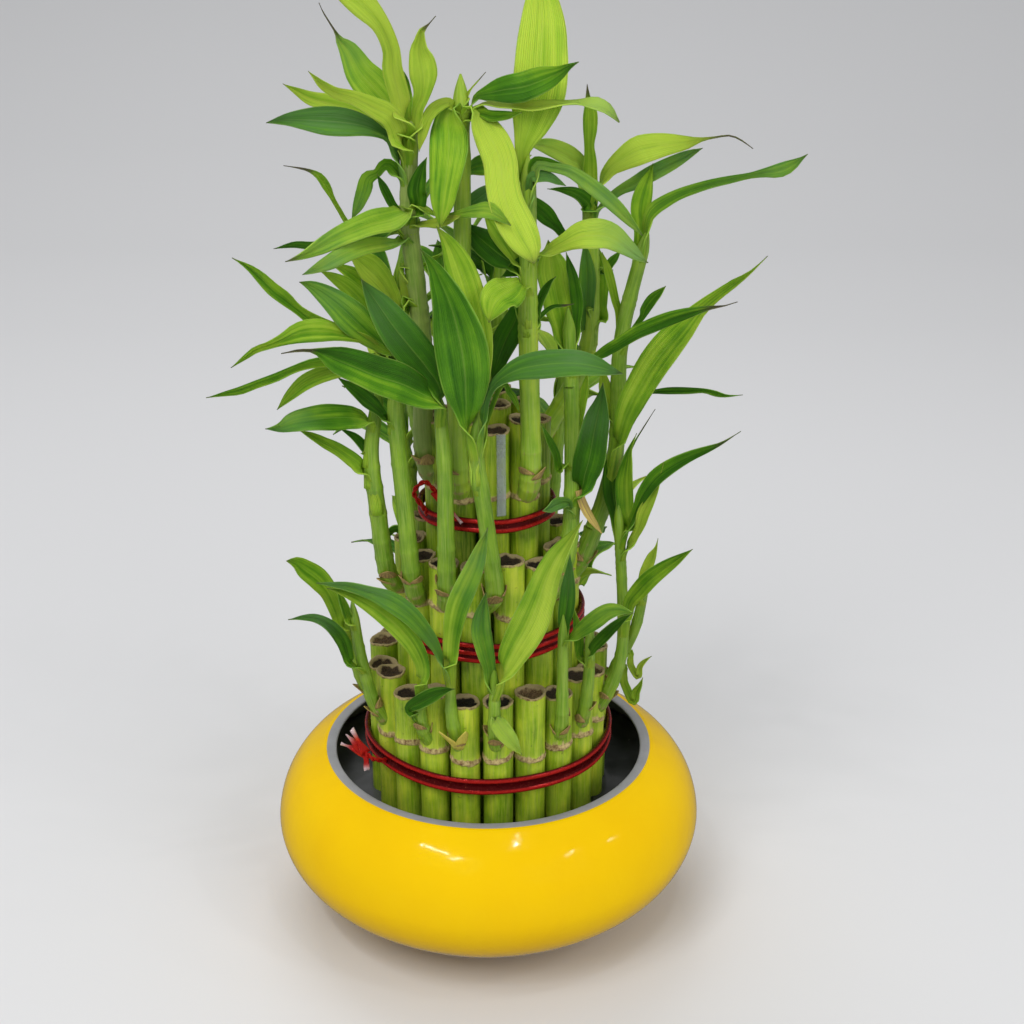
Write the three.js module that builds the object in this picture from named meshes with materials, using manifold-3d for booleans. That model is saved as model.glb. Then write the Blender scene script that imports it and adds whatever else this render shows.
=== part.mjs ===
// Lucky bamboo: three tiers of cut canes, tied with red wire, standing in the water of a yellow bowl.
// Millimetres, +Z up. The origin is the middle of the bowl's foot, on the surface that it stands on.
// The front of the plant looks along -Y, and angles round the plant run from the front towards +X.

import * as THREE from "three";
import { mergeVertices } from "three/addons/utils/BufferGeometryUtils.js";
import Module from "manifold-3d";

const wasm = await Module();
wasm.setup();

// ---- Driving dimensions ----

const GAP = 0.35; // air kept between two pieces that nearly touch
const LEAF_GAP = 0.45; // and round a leaf that another one crosses

const BOWL = { foot: 41, floor: 5, lipOuter: 57.7, lipInner: 53.2, height: 60, sides: 32 };
const WATER = { top: 46, bottom: 6, sides: 32, innerRadius: 38.6 };

const CANE = { radius: 4.9, scarRadius: 5.2, scarRise: 1.8, dish: 0.8, bottom: 6, sides: 7 };

// Rings of canes from the outside in: `turn` is the angle of the first cane from the front, in degrees.
const RINGS = [
  { tier: "lower", radius: 36.2, count: 21, turn: 5, top: 95, scar: 75 },
  { tier: "middle", radius: 26.1, count: 15, turn: -8.5, top: 138, scar: 123 },
  { tier: "upper", radius: 16, count: 9, turn: 8, top: 181, scar: 158 },
  { tier: "upper", radius: 6.1, count: 3, turn: 28, top: 186, scar: 162 },
];
const TOP_STEPS = [0, 2, -1.5, 1, -2.5, 1.5, -0.5]; // how the cut tops differ from cane to cane

// A tie is a red foil band with wires along it, closed by twisting its ends together: `wires` is how many wires
// show across the band, `span` how far apart they lie, `tail` where the twist stands, `reach` how far it goes out.
const TIES = [
  { name: "tie_lower", ring: 0, z: 66.5, wires: 2, span: 4, tail: -54, reach: 12 },
  { name: "tie_middle", ring: 1, z: 110.5, wires: 3, span: 2.6, tail: 150, reach: 8 },
  { name: "tie_upper", ring: 2, z: 150, wires: 2, span: 3, tail: -62, reach: 5 },
];
const WIRE = { radius: 0.85, film: 0.35, sides: 6 };
const TIE_SIDES = 28;

const STRIP = { width: 3, thick: 0.9, angle: 12, radius: 21.9, bottom: 153.6, top: 181 };

const SHOOT = { base: 3.6, top: 2.2, sides: 6 };

// The outline of a blade that grows by rule: how far along it, and its width as a share of the widest.
const BLADE_OUTLINE = [
  [0, 0.44],
  [0.1, 0.5],
  [0.24, 0.78],
  [0.42, 1],
  [0.56, 0.98],
  [0.7, 0.8],
  [0.84, 0.47],
  [1, 0],
];
const BLADE_RINGS = [0.03, 0.18, 0.36, 0.54, 0.72, 0.88]; // where along a blade its rings lie
const BLADE = { thick: 1, thinnest: 0.5, fold: 0.14, bendAt: 0.45, hair: 3, narrowest: 0.55 };
const FRONT = new THREE.Vector3(0, -0.93, 0.37); // the way a blade with a turn of 1 looks

// The view from the front that the leaves are measured in, with a picture 1024 units wide and high.
const SIGHT = { eye: [0, -492, 348], pitch: 22.3, yaw: 0.967, reach: 1600, middle: 512 };

// ---- Shoots and leaves placed by hand ----
// A shoot belongs to a cane (`tier` and number) and climbs through its points, in mm.
// A leaf leaves its shoot at the height `at`, and its tip lies at `depth` along Y. A station is where the middle
// of the blade is seen from the front, across and down, and how wide the blade is seen there. `turn` goes from
// 0, face up, to 1, facing the front.
const leaf = (at, depth, stations, turn = 0.85) => ({ at, depth, stations, turn });

const SHOOTS = [
  {
    cane: "middle_01", // the front shoot with the largest dark leaf
    path: [[2, -31, 130], [1, -31, 145], [-3, -31, 176], [-3, -30, 184]],
    leaves: [
      leaf(178, -38, [[468, 424, 14], [466, 400, 36], [465, 376, 50], [462, 351, 54], [457, 327, 50],
        [450, 303, 38], [441, 282, 25], [433, 266, 13], [420, 249, 0]]),
      leaf(180, -40, [[481, 425, 7], [485, 404, 8], [492, 388, 9], [503, 378, 14], [518, 370, 22],
        [536, 366, 27], [556, 364, 28], [576, 364, 27], [595, 367, 20], [610, 371, 10], [623, 374, 0]]),
      leaf(181, -22, [[480, 400, 14], [480, 350, 26], [473, 315, 32], [465, 285, 33], [457, 262, 28],
        [448, 243, 15], [436, 226, 0]]),
      leaf(179, -22, [[500, 388, 5], [509, 392, 6], [515, 401, 6], [519, 412, 0]]),
    ],
  },
  {
    cane: "middle_15",
    path: [[-13, -28, 130], [-13, -28.5, 155], [-13, -28, 172], [-14, -28, 190]],
    leaves: [
      leaf(188, -56, [[440, 404, 18], [422, 394, 30], [401, 384, 37], [378, 377, 38], [356, 368, 35],
        [336, 360, 27], [323, 354, 13], [312, 351, 4], [297, 351, 3], [281, 354, 0]]),
      leaf(189, -34, [[442, 392, 18], [426, 367, 34], [409, 346, 38], [393, 326, 36], [379, 306, 27],
        [370, 293, 15], [361, 279, 0]]),
    ],
  },
  {
    cane: "middle_14",
    path: [[-24, -23, 131], [-26, -25, 160], [-28, -25, 187], [-27, -24, 205]],
    leaves: [
      leaf(204, -30, [[400, 356, 8], [386, 347, 17], [368, 333, 27], [352, 318, 33], [338, 305, 28],
        [324, 294, 20], [311, 286, 11], [299, 282, 0]]),
      leaf(203, -46, [[385, 358, 6], [350, 362, 9], [318, 363, 10], [296, 369, 8], [276, 378, 9],
        [256, 385, 8], [240, 391, 8], [225, 394, 5], [206, 398, 0]]),
      leaf(196, -36, [[375, 372, 10], [345, 370, 14], [322, 375, 16], [305, 383, 16], [293, 393, 12],
        [285, 401, 7], [277, 410, 0]]),
      leaf(205, -18, [[385, 345, 8], [345, 333, 12], [316, 322, 13], [298, 310, 10], [285, 299, 14],
        [273, 290, 14], [262, 279, 12], [252, 270, 8], [243, 264, 4], [232, 258, 0]]),
      leaf(200, -36, [[375, 345, 8], [345, 335, 14], [320, 331, 23], [300, 333, 21], [283, 340, 12],
        [268, 346, 8], [256, 350, 7], [246, 357, 5], [231, 368, 0]]),
      leaf(186, -30, [[384, 415, 8], [370, 402, 15], [355, 390, 12], [337, 377, 0]]),
    ],
  },
  {
    cane: "middle_13",
    path: [[-32, -16, 130], [-35, -22, 160], [-36, -22, 176], [-34, -20, 190]],
    leaves: [
      leaf(184, -38, [[372, 422, 16], [352, 418, 23], [331, 418, 26], [310, 420, 25], [293, 423, 20],
        [279, 428, 9], [265, 429, 0]]),
      leaf(168, -26, [[366, 471, 12], [354, 461, 15], [338, 450, 13], [323, 442, 10], [311, 436, 7],
        [300, 431, 0]]),
      leaf(177, -20, [[372, 460, 8], [366, 449, 10], [355, 437, 8], [339, 428, 0]]),
    ],
  },
  {
    cane: "middle_03",
    path: [[23, -22, 131], [27, -18, 150], [27, -10, 190], [26, -8, 211]],
    leaves: [
      leaf(156, -27, [[577, 497, 13], [583, 480, 24], [589, 460, 32], [593, 438, 30], [597, 418, 25],
        [601, 401, 13], [603, 382, 0]]),
      leaf(206, -5, [[575, 330, 8], [577, 305, 12], [574, 285, 12], [570, 268, 8], [566, 252, 0]]),
      leaf(204, 0, [[563, 330, 20], [559, 308, 30], [554, 285, 32], [551, 265, 30], [548, 240, 0]]),
      leaf(198, -40, [[593, 358, 8], [606, 351, 11], [620, 343, 12], [637, 333, 14], [655, 325, 15],
        [675, 317, 13], [694, 312, 9], [711, 308, 4], [724, 306, 1.5], [738, 302, 0]]),
      leaf(172, -8, [[578, 425, 8], [582, 405, 9], [585, 388, 8], [588, 370, 0]]),
      leaf(153, -32, [[568, 503, 8], [558, 504, 13], [549, 509, 9], [542, 511, 0]]),
      leaf(168, -20, [[560, 470, 7], [556, 455, 8], [549, 440, 7], [541, 424, 0]]),
    ],
  },
  {
    cane: "middle_05",
    path: [[33, -1, 133], [42, 0, 165], [43, 0, 204], [49, 0, 234]],
    leaves: [
      leaf(232, -5, [[645, 224, 9], [652, 211, 13], [663, 203, 13], [678, 195, 11], [695, 189, 10],
        [712, 184, 9], [730, 180, 8], [749, 176, 6], [765, 173, 9], [779, 171, 14], [791, 166, 12],
        [800, 160, 5], [808, 154, 0]]),
      leaf(230, 5, [[641, 228, 14], [640, 212, 19], [642, 198, 20], [646, 184, 14], [650, 173, 6],
        [653, 163, 0]]),
      leaf(203, -5, [[641, 319, 6], [645, 310, 10], [652, 300, 11], [659, 293, 8], [666, 286, 0]]),
      leaf(196, 3, [[619, 318, 7], [615, 300, 8], [611, 283, 9], [607, 268, 8], [602, 252, 0]]),
      leaf(158, -28, [[617, 445, 13], [622, 425, 19], [630, 405, 26], [641, 385, 29], [654, 364, 32],
        [669, 345, 32], [685, 327, 26], [701, 309, 15], [718, 295, 10], [735, 283, 8], [750, 273, 3],
        [768, 256, 0]]),
      leaf(187, -12, [[650, 392, 4], [668, 391, 7], [688, 391, 7], [704, 391, 5], [716, 394, 6],
        [727, 396, 3], [743, 395, 0]]),
      leaf(178, 3, [[611, 410, 10], [607, 395, 14], [604, 380, 10], [602, 366, 0]]),
    ],
  },
  {
    cane: "upper_08",
    path: [[-20, -7, 170], [-20, -8, 208], [-23, -8, 245], [-22, -8, 272]],
    leaves: [
      leaf(268, -24, [[402, 106, 20], [393, 72, 21], [391, 50, 18], [380, 25, 19], [362, 5, 27],
        [344, -10, 25], [326, -22, 13], [310, -28, 0]]),
      leaf(266, 8, [[389, 108, 30], [375, 90, 36], [361, 74, 31], [353, 59, 24], [347, 49, 18],
        [340, 41, 9], [336, 33, 3], [329, 22, 1.4], [323, 12, 1.2], [319, 3, 0]]),
      leaf(267, -14, [[416, 112, 15], [421, 99, 15], [423, 88, 20], [423, 75, 28], [421, 62, 27],
        [419, 50, 20], [420, 40, 12], [422, 31, 7], [428, 25, 2], [436, 16, 0]]),
      leaf(267, -12, [[403, 116, 18], [402, 100, 22], [400, 82, 17], [397, 68, 8], [395, 60, 0]]),
      leaf(264, -26, [[393, 121, 22], [373, 108, 20], [352, 98, 14], [335, 93, 11], [322, 85, 9],
        [314, 77, 4], [308, 71, 0]]),
      leaf(262, 0, [[398, 131, 12], [378, 122, 16], [352, 110, 19], [330, 104, 18], [311, 99, 14],
        [296, 91, 7], [283, 84, 0]]),
      leaf(258, -18, [[392, 143, 8], [382, 134, 10], [366, 127, 20], [346, 123, 28], [325, 121, 28],
        [305, 120, 21], [286, 120, 12], [266, 123, 0]]),
      leaf(257, -6, [[388, 165, 12], [377, 174, 9], [368, 179, 14], [364, 192, 15], [358, 207, 10],
        [352, 219, 0]]),
      leaf(244, -10, [[394, 207, 8], [389, 198, 9], [383, 186, 8], [377, 174, 0]]),
      leaf(250, -34, [[412, 213, 18], [395, 219, 24], [375, 224, 26], [355, 231, 24], [336, 239, 20],
        [319, 248, 15], [303, 256, 8], [285, 262, 0]]),
      leaf(240, -38, [[405, 243, 9], [386, 244, 13], [366, 247, 17], [346, 254, 18], [327, 264, 14],
        [312, 271, 7], [302, 275, 0]]),
      leaf(242, 6, [[380, 238, 8], [340, 243, 8], [312, 246, 8], [294, 245, 6], [274, 249, 0]]),
      leaf(241, 15, [[385, 236, 6], [352, 227, 5], [338, 208, 4.5], [332, 197, 5], [327, 187, 8.5],
        [320, 177, 7.5], [310, 171, 3.5], [298, 168, 1.6], [284, 166, 0]]),
      leaf(250, -30, [[433, 214, 4], [446, 216, 4], [460, 214, 7], [474, 212, 14], [488, 212, 18],
        [500, 218, 10], [511, 226, 0]]),
      leaf(244, -20, [[428, 224, 7], [440, 223, 12], [452, 219, 7], [462, 216, 0]]),
      leaf(232, -8, [[400, 312, 10], [391, 296, 18], [379, 279, 26], [365, 265, 24], [347, 252, 0]]),
      leaf(228, 2, [[402, 325, 6], [398, 300, 5], [396, 285, 3], [396, 270, 0]]),
      leaf(222, -6, [[398, 330, 12], [388, 306, 17], [372, 289, 20], [355, 276, 16], [341, 268, 8],
        [330, 264, 0]]),
      leaf(220, -16, [[384, 326, 14], [362, 302, 19], [346, 286, 16], [332, 277, 9], [320, 271, 0]]),
      leaf(244, -14, [[418, 205, 16], [417, 190, 20], [421, 172, 12], [427, 157, 0]]),
    ],
  },
  {
    cane: "upper_09",
    path: [[-9, -19, 170], [-9, -17, 195], [-7, -10, 240], [-7, -4, 281]],
    leaves: [
      leaf(276, -16, [[474, 98, 6], [487, 94, 15], [505, 90, 25], [525, 87, 30], [544, 80, 26],
        [559, 73, 14], [569, 67, 6], [579, 62, 0]]),
      leaf(278, -22, [[458, 108, 14], [452, 118, 24], [449, 132, 36], [449, 150, 39], [447, 170, 35],
        [444, 190, 28], [442, 208, 20], [440, 228, 0]]),
      leaf(277, -32, [[470, 111, 14], [480, 124, 25], [492, 141, 33], [500, 161, 34], [502, 182, 34],
        [506, 203, 36], [514, 223, 38], [523, 240, 33], [530, 253, 22], [534, 264, 0]]),
      leaf(276, -14, [[482, 105, 7], [505, 107, 9], [530, 108, 11], [552, 106, 12], [569, 105, 9],
        [580, 105, 9], [594, 107, 17], [606, 111, 13], [613, 117, 6], [619, 123, 0]]),
      leaf(274, -12, [[478, 114, 8], [493, 117, 11], [508, 116, 8], [522, 113, 0]]),
      leaf(276, -14, [[450, 103, 9], [436, 108, 12], [427, 120, 12], [422, 136, 9], [419, 152, 0]]),
      leaf(279, -6, [[466, 97, 5], [471, 89, 2], [478, 81, 1.5], [486, 72, 0]]),
      leaf(240, 4, [[462, 212, 10], [474, 202, 16], [488, 192, 14], [505, 183, 0]]),
    ],
  },
  {
    cane: "upper_02",
    path: [[14, -17.5, 168], [13, -18, 211], [13, -16, 232], [13, -10, 258]],
    leaves: [
      leaf(254, 4, [[523, 158, 14], [525, 142, 22], [531, 124, 38], [537, 100, 53], [540, 75, 54],
        [541, 50, 52], [542, 25, 46], [541, 0, 33], [539, -17, 18], [537, -28, 0]]),
      leaf(252, -18, [[535, 168, 9], [552, 168, 9], [570, 172, 12], [588, 184, 15], [605, 197, 15],
        [620, 211, 13], [632, 224, 8], [643, 236, 0]]),
      leaf(256, 4, [[505, 172, 14], [490, 167, 20], [476, 168, 17], [458, 176, 0]]),
      leaf(226, -38, [[521, 284, 16], [510, 292, 33], [498, 300, 37], [492, 311, 24], [489, 323, 0]]),
      leaf(236, -26, [[532, 258, 9], [548, 251, 12], [565, 243, 17], [580, 237, 27], [595, 236, 31],
        [610, 238, 26], [625, 247, 18], [638, 257, 10], [648, 263, 0]]),
      leaf(250, -14, [[530, 180, 8], [536, 177, 12], [548, 177, 10], [558, 182, 6], [566, 186, 0]]),
      leaf(254, -12, [[532, 163, 6], [545, 162, 8], [558, 166, 7], [572, 172, 5], [585, 178, 0]]),
      leaf(229, 0, [[515, 266, 16], [500, 255, 28], [485, 243, 28], [473, 232, 14], [462, 222, 0]]),
      leaf(232, -6, [[516, 258, 12], [508, 245, 20], [498, 230, 20], [488, 217, 8], [482, 208, 0]]),
      leaf(228, -12, [[524, 262, 10], [517, 268, 16], [509, 273, 8], [501, 277, 0]]),
      leaf(216, -6, [[522, 305, 14], [515, 322, 24], [506, 340, 26], [499, 358, 18], [492, 380, 0]]),
      leaf(213, -14, [[536, 322, 6], [538, 308, 8], [544, 293, 9], [550, 283, 5], [556, 277, 0]]),
      leaf(214, -14, [[545, 312, 5], [553, 307, 4], [562, 306, 3], [574, 304, 0]]),
    ],
  },
  {
    cane: "upper_04",
    path: [[20, 13, 171], [28, 14, 185], [34, 12, 205], [33, 12, 248]],
    leaves: [
      leaf(246, 12, [[590, 178, 15], [590, 160, 13], [589, 145, 10], [590, 129, 14], [590, 113, 14],
        [588, 99, 6], [587, 84, 0]]),
      leaf(247, -4, [[605, 174, 12], [621, 161, 21], [637, 152, 29], [652, 148, 27], [668, 145, 21],
        [686, 143, 13], [701, 140, 4], [714, 138, 1.5], [730, 136, 1.3], [742, 141, 1.2], [753, 149, 0]]),
      leaf(243, 4, [[618, 192, 9], [634, 184, 13], [650, 175, 16], [665, 167, 15], [680, 159, 12],
        [692, 153, 7], [703, 148, 0]]),
      leaf(248, 18, [[582, 168, 14], [570, 158, 20], [555, 150, 18], [541, 146, 12], [526, 144, 0]]),
      leaf(242, 2, [[591, 213, 14], [587, 203, 17], [576, 194, 12], [562, 190, 6], [547, 189, 0]]),
      leaf(236, 6, [[566, 236, 8], [556, 226, 11], [545, 215, 18], [532, 203, 14], [519, 190, 0]]),
      leaf(214, 8, [[588, 330, 10], [586, 305, 16], [587, 280, 18], [586, 260, 12], [584, 240, 0]]),
      leaf(208, 14, [[600, 320, 9], [602, 295, 12], [601, 275, 16], [598, 258, 12], [594, 240, 0]]),
      leaf(226, 16, [[604, 272, 6], [611, 263, 9], [616, 257, 6], [621, 251, 0]]),
    ],
  },
  {
    cane: "lower_05",
    path: [[41, -13, 86], [45, -12, 100], [45, -10, 118], [43, -10, 147]],
    leaves: [
      leaf(138, -25, [[636, 509, 8], [643, 494, 13], [655, 478, 16], [671, 466, 15], [690, 456, 11],
        [708, 449, 7], [722, 443, 3], [741, 431, 0]]),
      leaf(134, -18, [[638, 530, 9], [643, 514, 13], [650, 500, 11], [657, 487, 5], [664, 462, 0]]),
      leaf(143, -8, [[628, 528, 12], [625, 508, 17], [624, 485, 18], [627, 463, 12], [630, 449, 5],
        [637, 433, 0]]),
      leaf(140, 4, [[618, 520, 14], [613, 495, 20], [612, 470, 18], [614, 450, 10], [617, 430, 0]]),
      leaf(145, 2, [[622, 500, 8], [621, 480, 9], [624, 462, 6], [634, 443, 2], [645, 425, 1.2],
        [655, 409, 0]]),
      leaf(107, -34, [[629, 604, 13], [638, 592, 17], [650, 579, 18], [663, 569, 15], [677, 560, 10],
        [693, 549, 0]]),
    ],
  },
  {
    cane: "lower_06",
    path: [[42, -1, 84], [46, -4, 95], [50, -7, 107], [52, -8, 119]],
    leaves: [
      leaf(117, -11, [[643, 578, 9], [647, 567, 11], [652, 556, 9], [656, 547, 3], [658, 538, 0]]),
      leaf(96, -10, [[637, 676, 7], [640, 667, 6], [645, 661, 4], [652, 656, 0]]),
      leaf(90, -12, [[632, 700, 9], [636, 692, 9], [640, 685, 5], [643, 677, 0]]),
    ],
  },
  {
    cane: "lower_04",
    path: [[32, -25.5, 86], [33, -28, 100], [33, -29, 114]],
    leaves: [
      leaf(105, -38, [[590, 652, 8], [600, 640, 12], [612, 628, 11], [623, 619, 6], [633, 613, 0]]),
      leaf(104, -24, [[580, 655, 8], [579, 640, 10], [577, 625, 8], [574, 608, 0]]),
    ],
  },
  {
    cane: "lower_03",
    path: [[24, -34, 86], [24, -35, 100], [24, -35, 118]],
    leaves: [
      leaf(116, -46, [[566, 640, 9], [579, 632, 13], [592, 622, 18], [605, 613, 17], [618, 610, 12],
        [634, 613, 0]]),
      leaf(115, -33, [[563, 630, 10], [566, 610, 16], [568, 590, 15], [569, 572, 9], [570, 554, 0]]),
    ],
  },
  {
    cane: "lower_21",
    path: [[-11, -39.5, 86], [-12, -40, 95], [-12, -40, 105]],
    leaves: [
      leaf(104, -54, [[440, 655, 8], [429, 637, 14], [411, 616, 19], [390, 601, 20], [368, 592, 13],
        [345, 586, 9], [316, 583, 0]]),
      leaf(103, -46, [[450, 662, 15], [452, 635, 18], [457, 608, 23], [466, 586, 23], [475, 565, 19],
        [481, 547, 12], [488, 527, 0]]),
    ],
  },
  {
    cane: "lower_01",
    path: [[2, -41.5, 86], [2, -42, 95], [2, -42, 104]],
    leaves: [
      leaf(102, -42, [[492, 690, 9], [490, 671, 12], [485, 651, 18], [481, 631, 20], [482, 613, 15],
        [486, 592, 0]]),
      leaf(100, -60, [[499, 690, 14], [504, 671, 21], [515, 650, 31], [529, 625, 37], [539, 600, 33],
        [547, 577, 27], [557, 557, 21], [569, 540, 12], [583, 520, 0]]),
      leaf(94, -53, [[494, 717, 13], [501, 728, 18], [510, 740, 16], [517, 749, 8], [522, 755, 0]]),
    ],
  },
  {
    cane: "lower_18",
    path: [[-38, -21, 86], [-40, -23, 96], [-42, -25, 109], [-43, -26, 120]],
    leaves: [
      leaf(100, -40, [[351, 662, 10], [343, 641, 14], [331, 627, 13], [316, 619, 9], [302, 618, 5],
        [288, 620, 0]]),
      leaf(117, -30, [[350, 620, 9], [345, 607, 9], [341, 597, 6], [338, 584, 0]]),
    ],
  },
  {
    cane: "lower_17",
    path: [[-42, -8, 86], [-45, -11, 98], [-47, -14, 110]],
    leaves: [
      leaf(107, -32, [[345, 632, 14], [338, 611, 17], [329, 592, 18], [318, 579, 22], [306, 570, 20],
        [296, 563, 13], [286, 561, 0]]),
    ],
  },
  {
    cane: "lower_20",
    path: [[-21, -36, 84], [-22, -38, 92], [-21, -39, 98]],
    leaves: [
      leaf(96, -52, [[420, 690, 13], [423, 668, 14], [415, 647, 18], [400, 628, 21], [381, 612, 19],
        [361, 600, 13], [345, 593, 8], [327, 588, 0]]),
      leaf(89, -46, [[409, 709, 9], [420, 702, 15], [433, 695, 15], [444, 691, 9], [455, 689, 0]]),
    ],
  },
];

// ---- The other shoots, drawn by a seeded rule ----
// At the back the same growth goes on: these canes bear a shoot that climbs outwards with a few leaves.
const GROWN = {
  lower: { canes: [9, 11, 13], climb: [25, 40], reach: [24, 36] },
  middle: { canes: [7, 9, 11], climb: [38, 55], reach: [34, 46] },
  upper: { canes: [5, 6, 7], climb: [35, 55], reach: [36, 50] },
};
const LEAVES_PER_SHOOT = 4;
const SEED = 20241;

// ---- Looks ----

const finish = (color, roughness, metalness = 0) =>
  new THREE.MeshStandardMaterial({ color, roughness, metalness });
const BOWL_GLAZE = () => finish(0xf6c70c, 0.16);
const WATER_LOOK = () => finish(0x54564f, 0.06);
const WIRE_LOOK = () => finish(0x8e1015, 0.25, 0.6);
const STRIP_LOOK = () => finish(0xc8cfd2, 0.2);
const PLANT_LOOK = {
  lower: () => finish(0x7fae2c, 0.5),
  middle: () => finish(0x5f9a2a, 0.5),
  upper: () => finish(0x8cc234, 0.5),
};

// ---- Small helpers ----

const vec = (p) => new THREE.Vector3(...p);
const radians = THREE.MathUtils.degToRad;

function atAngle(radius, degrees, z = 0) {
  const a = radians(degrees);
  return new THREE.Vector3(radius * Math.sin(a), -radius * Math.cos(a), z);
}

function seededRandom(seed) {
  let state = seed;
  return () => {
    state = (state * 1664525 + 1013904223) % 4294967296;
    return state / 4294967296;
  };
}

function solidOf(geometry) {
  const bare = geometry.clone();
  bare.deleteAttribute("normal");
  bare.deleteAttribute("uv");
  const merged = mergeVertices(bare, 1e-4);
  const solid = new wasm.Manifold(
    new wasm.Mesh({
      numProp: 3,
      vertProperties: new Float32Array(merged.attributes.position.array),
      triVerts: new Uint32Array(merged.index.array),
    }),
  );
  return solid;
}

function meshOf(solid, name, material) {
  const { vertProperties, triVerts } = solid.getMesh();
  const geometry = new THREE.BufferGeometry();
  geometry.setAttribute("position", new THREE.BufferAttribute(new Float32Array(vertProperties), 3));
  geometry.setIndex(new THREE.BufferAttribute(new Uint32Array(triVerts), 1));
  geometry.computeVertexNormals();
  const mesh = new THREE.Mesh(geometry, material);
  mesh.name = name;
  return mesh;
}

function joined(solids) {
  return solids.length === 1 ? solids[0] : wasm.Manifold.union(solids);
}

function largestBody(solid) {
  const bodies = solid.decompose();
  return bodies.reduce((best, body) => (body.volume() > best.volume() ? body : best));
}

// A turned solid from [radius, height] points that start and end on the axis.
function turned(points, sides) {
  const profile = points.map(([r, z]) => new THREE.Vector2(r, z));
  return new THREE.LatheGeometry(profile, sides).rotateX(Math.PI / 2);
}

// A closed skin over rings of equal count. The first half of each ring is one face and the second half is its
// mirror, so the two faces are split into triangles alike. With a `point`, the last ring closes on it.
function skinned(rings, point = null) {
  const count = rings[0].length;
  const half = count / 2;
  const corners = rings.flat().concat(point ? [point] : []);
  const index = [];
  for (let k = 0; k + 1 < rings.length; k += 1) {
    for (let i = 0; i < count; i += 1) {
      const a = k * count + i;
      const b = k * count + ((i + 1) % count);
      const c = b + count;
      const d = a + count;
      index.push(...(i < half ? [a, b, c, a, c, d] : [a, b, d, b, c, d]));
    }
  }
  const cap = (at, flip) => {
    for (let i = 0; i < half; i += 1) {
      const q = [i, i + 1, (2 * half - i - 1) % count, (2 * half - i) % count].map((n) => at + (n % count));
      for (const [x, y, z] of [[q[0], q[1], q[2]], [q[0], q[2], q[3]]]) {
        if (x !== y && y !== z && x !== z) index.push(...(flip ? [x, y, z] : [x, z, y]));
      }
    }
  };
  cap(0, false);
  if (point) {
    const last = (rings.length - 1) * count;
    for (let i = 0; i < count; i += 1) {
      index.push(last + i, last + ((i + 1) % count), corners.length - 1);
    }
  } else {
    cap((rings.length - 1) * count, true);
  }
  const geometry = new THREE.BufferGeometry().setFromPoints(corners);
  geometry.setIndex(index);
  return geometry;
}

// ---- Canes ----

function canePlaces() {
  const places = [];
  const next = { lower: 1, middle: 1, upper: 1 };
  for (const ring of RINGS) {
    for (let k = 0; k < ring.count; k += 1) {
      const number = String(next[ring.tier]++).padStart(2, "0");
      const angle = ring.turn + (360 / ring.count) * k;
      places.push({
        name: `${ring.tier}_${number}`,
        tier: ring.tier,
        angle,
        at: atAngle(ring.radius, angle),
        top: ring.top + TOP_STEPS[k % TOP_STEPS.length],
        scar: ring.scar + TOP_STEPS[(k + 3) % TOP_STEPS.length] / 2,
      });
    }
  }
  return places;
}

function caneSolid(place, grow = 0) {
  const r = CANE.radius + grow;
  const { top, scar } = place;
  const points = [
    [0, CANE.bottom - grow],
    [r, CANE.bottom - grow],
    [r, scar - CANE.scarRise],
    [CANE.scarRadius + grow, scar],
    [r, top + grow],
    [0, top - CANE.dish + grow],
  ];
  return solidOf(turned(points, CANE.sides).translate(place.at.x, place.at.y, 0));
}

// ---- Shoots ----

function shootPath(place, path) {
  const root = place.at.clone().setZ(place.scar - 1);
  return [root, ...path.map(vec)];
}

function shootSolid(points, grow = 0) {
  const rings = points.map((point, k) => {
    const before = points[Math.max(k - 1, 0)];
    const after = points[Math.min(k + 1, points.length - 1)];
    const along = after.clone().sub(before).normalize();
    const side = along.clone().cross(new THREE.Vector3(0, 1, 0)).normalize();
    const back = along.clone().cross(side);
    const share = k / (points.length - 1);
    const radius = THREE.MathUtils.lerp(SHOOT.base, SHOOT.top, share) + grow;
    const ring = [];
    for (let i = 0; i < SHOOT.sides; i += 1) {
      const a = (2 * Math.PI * i) / SHOOT.sides;
      const out = side.clone().multiplyScalar(radius * Math.cos(a));
      ring.push(point.clone().add(out).addScaledVector(back, radius * Math.sin(a)));
    }
    return ring;
  });
  return solidOf(skinned(rings));
}

function pointAtHeight(points, z) {
  for (let k = 0; k + 1 < points.length; k += 1) {
    const [low, high] = [points[k], points[k + 1]];
    if (z <= high.z) {
      const share = THREE.MathUtils.clamp((z - low.z) / (high.z - low.z), 0, 1);
      return low.clone().lerp(high, share);
    }
  }
  return points[points.length - 1].clone();
}

// ---- Leaves ----

const SIGHT_TURN = new THREE.Matrix4()
  .makeRotationZ(-radians(SIGHT.yaw))
  .multiply(new THREE.Matrix4().makeRotationX(radians(90 - SIGHT.pitch)));

function sightedPoint(across, down, depth) {
  const ray = new THREE.Vector3(across - SIGHT.middle, SIGHT.middle - down, -SIGHT.reach);
  ray.applyMatrix4(SIGHT_TURN);
  const eye = vec(SIGHT.eye);
  return eye.addScaledVector(ray, (depth - eye.y) / ray.y);
}

// Where a point is seen: across, down and how far off it is.
function seen(point) {
  const local = point.clone().sub(vec(SIGHT.eye)).applyMatrix4(SIGHT_TURN.clone().invert());
  const scale = SIGHT.reach / -local.z;
  return [SIGHT.middle + local.x * scale, SIGHT.middle - local.y * scale, -local.z];
}

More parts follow.
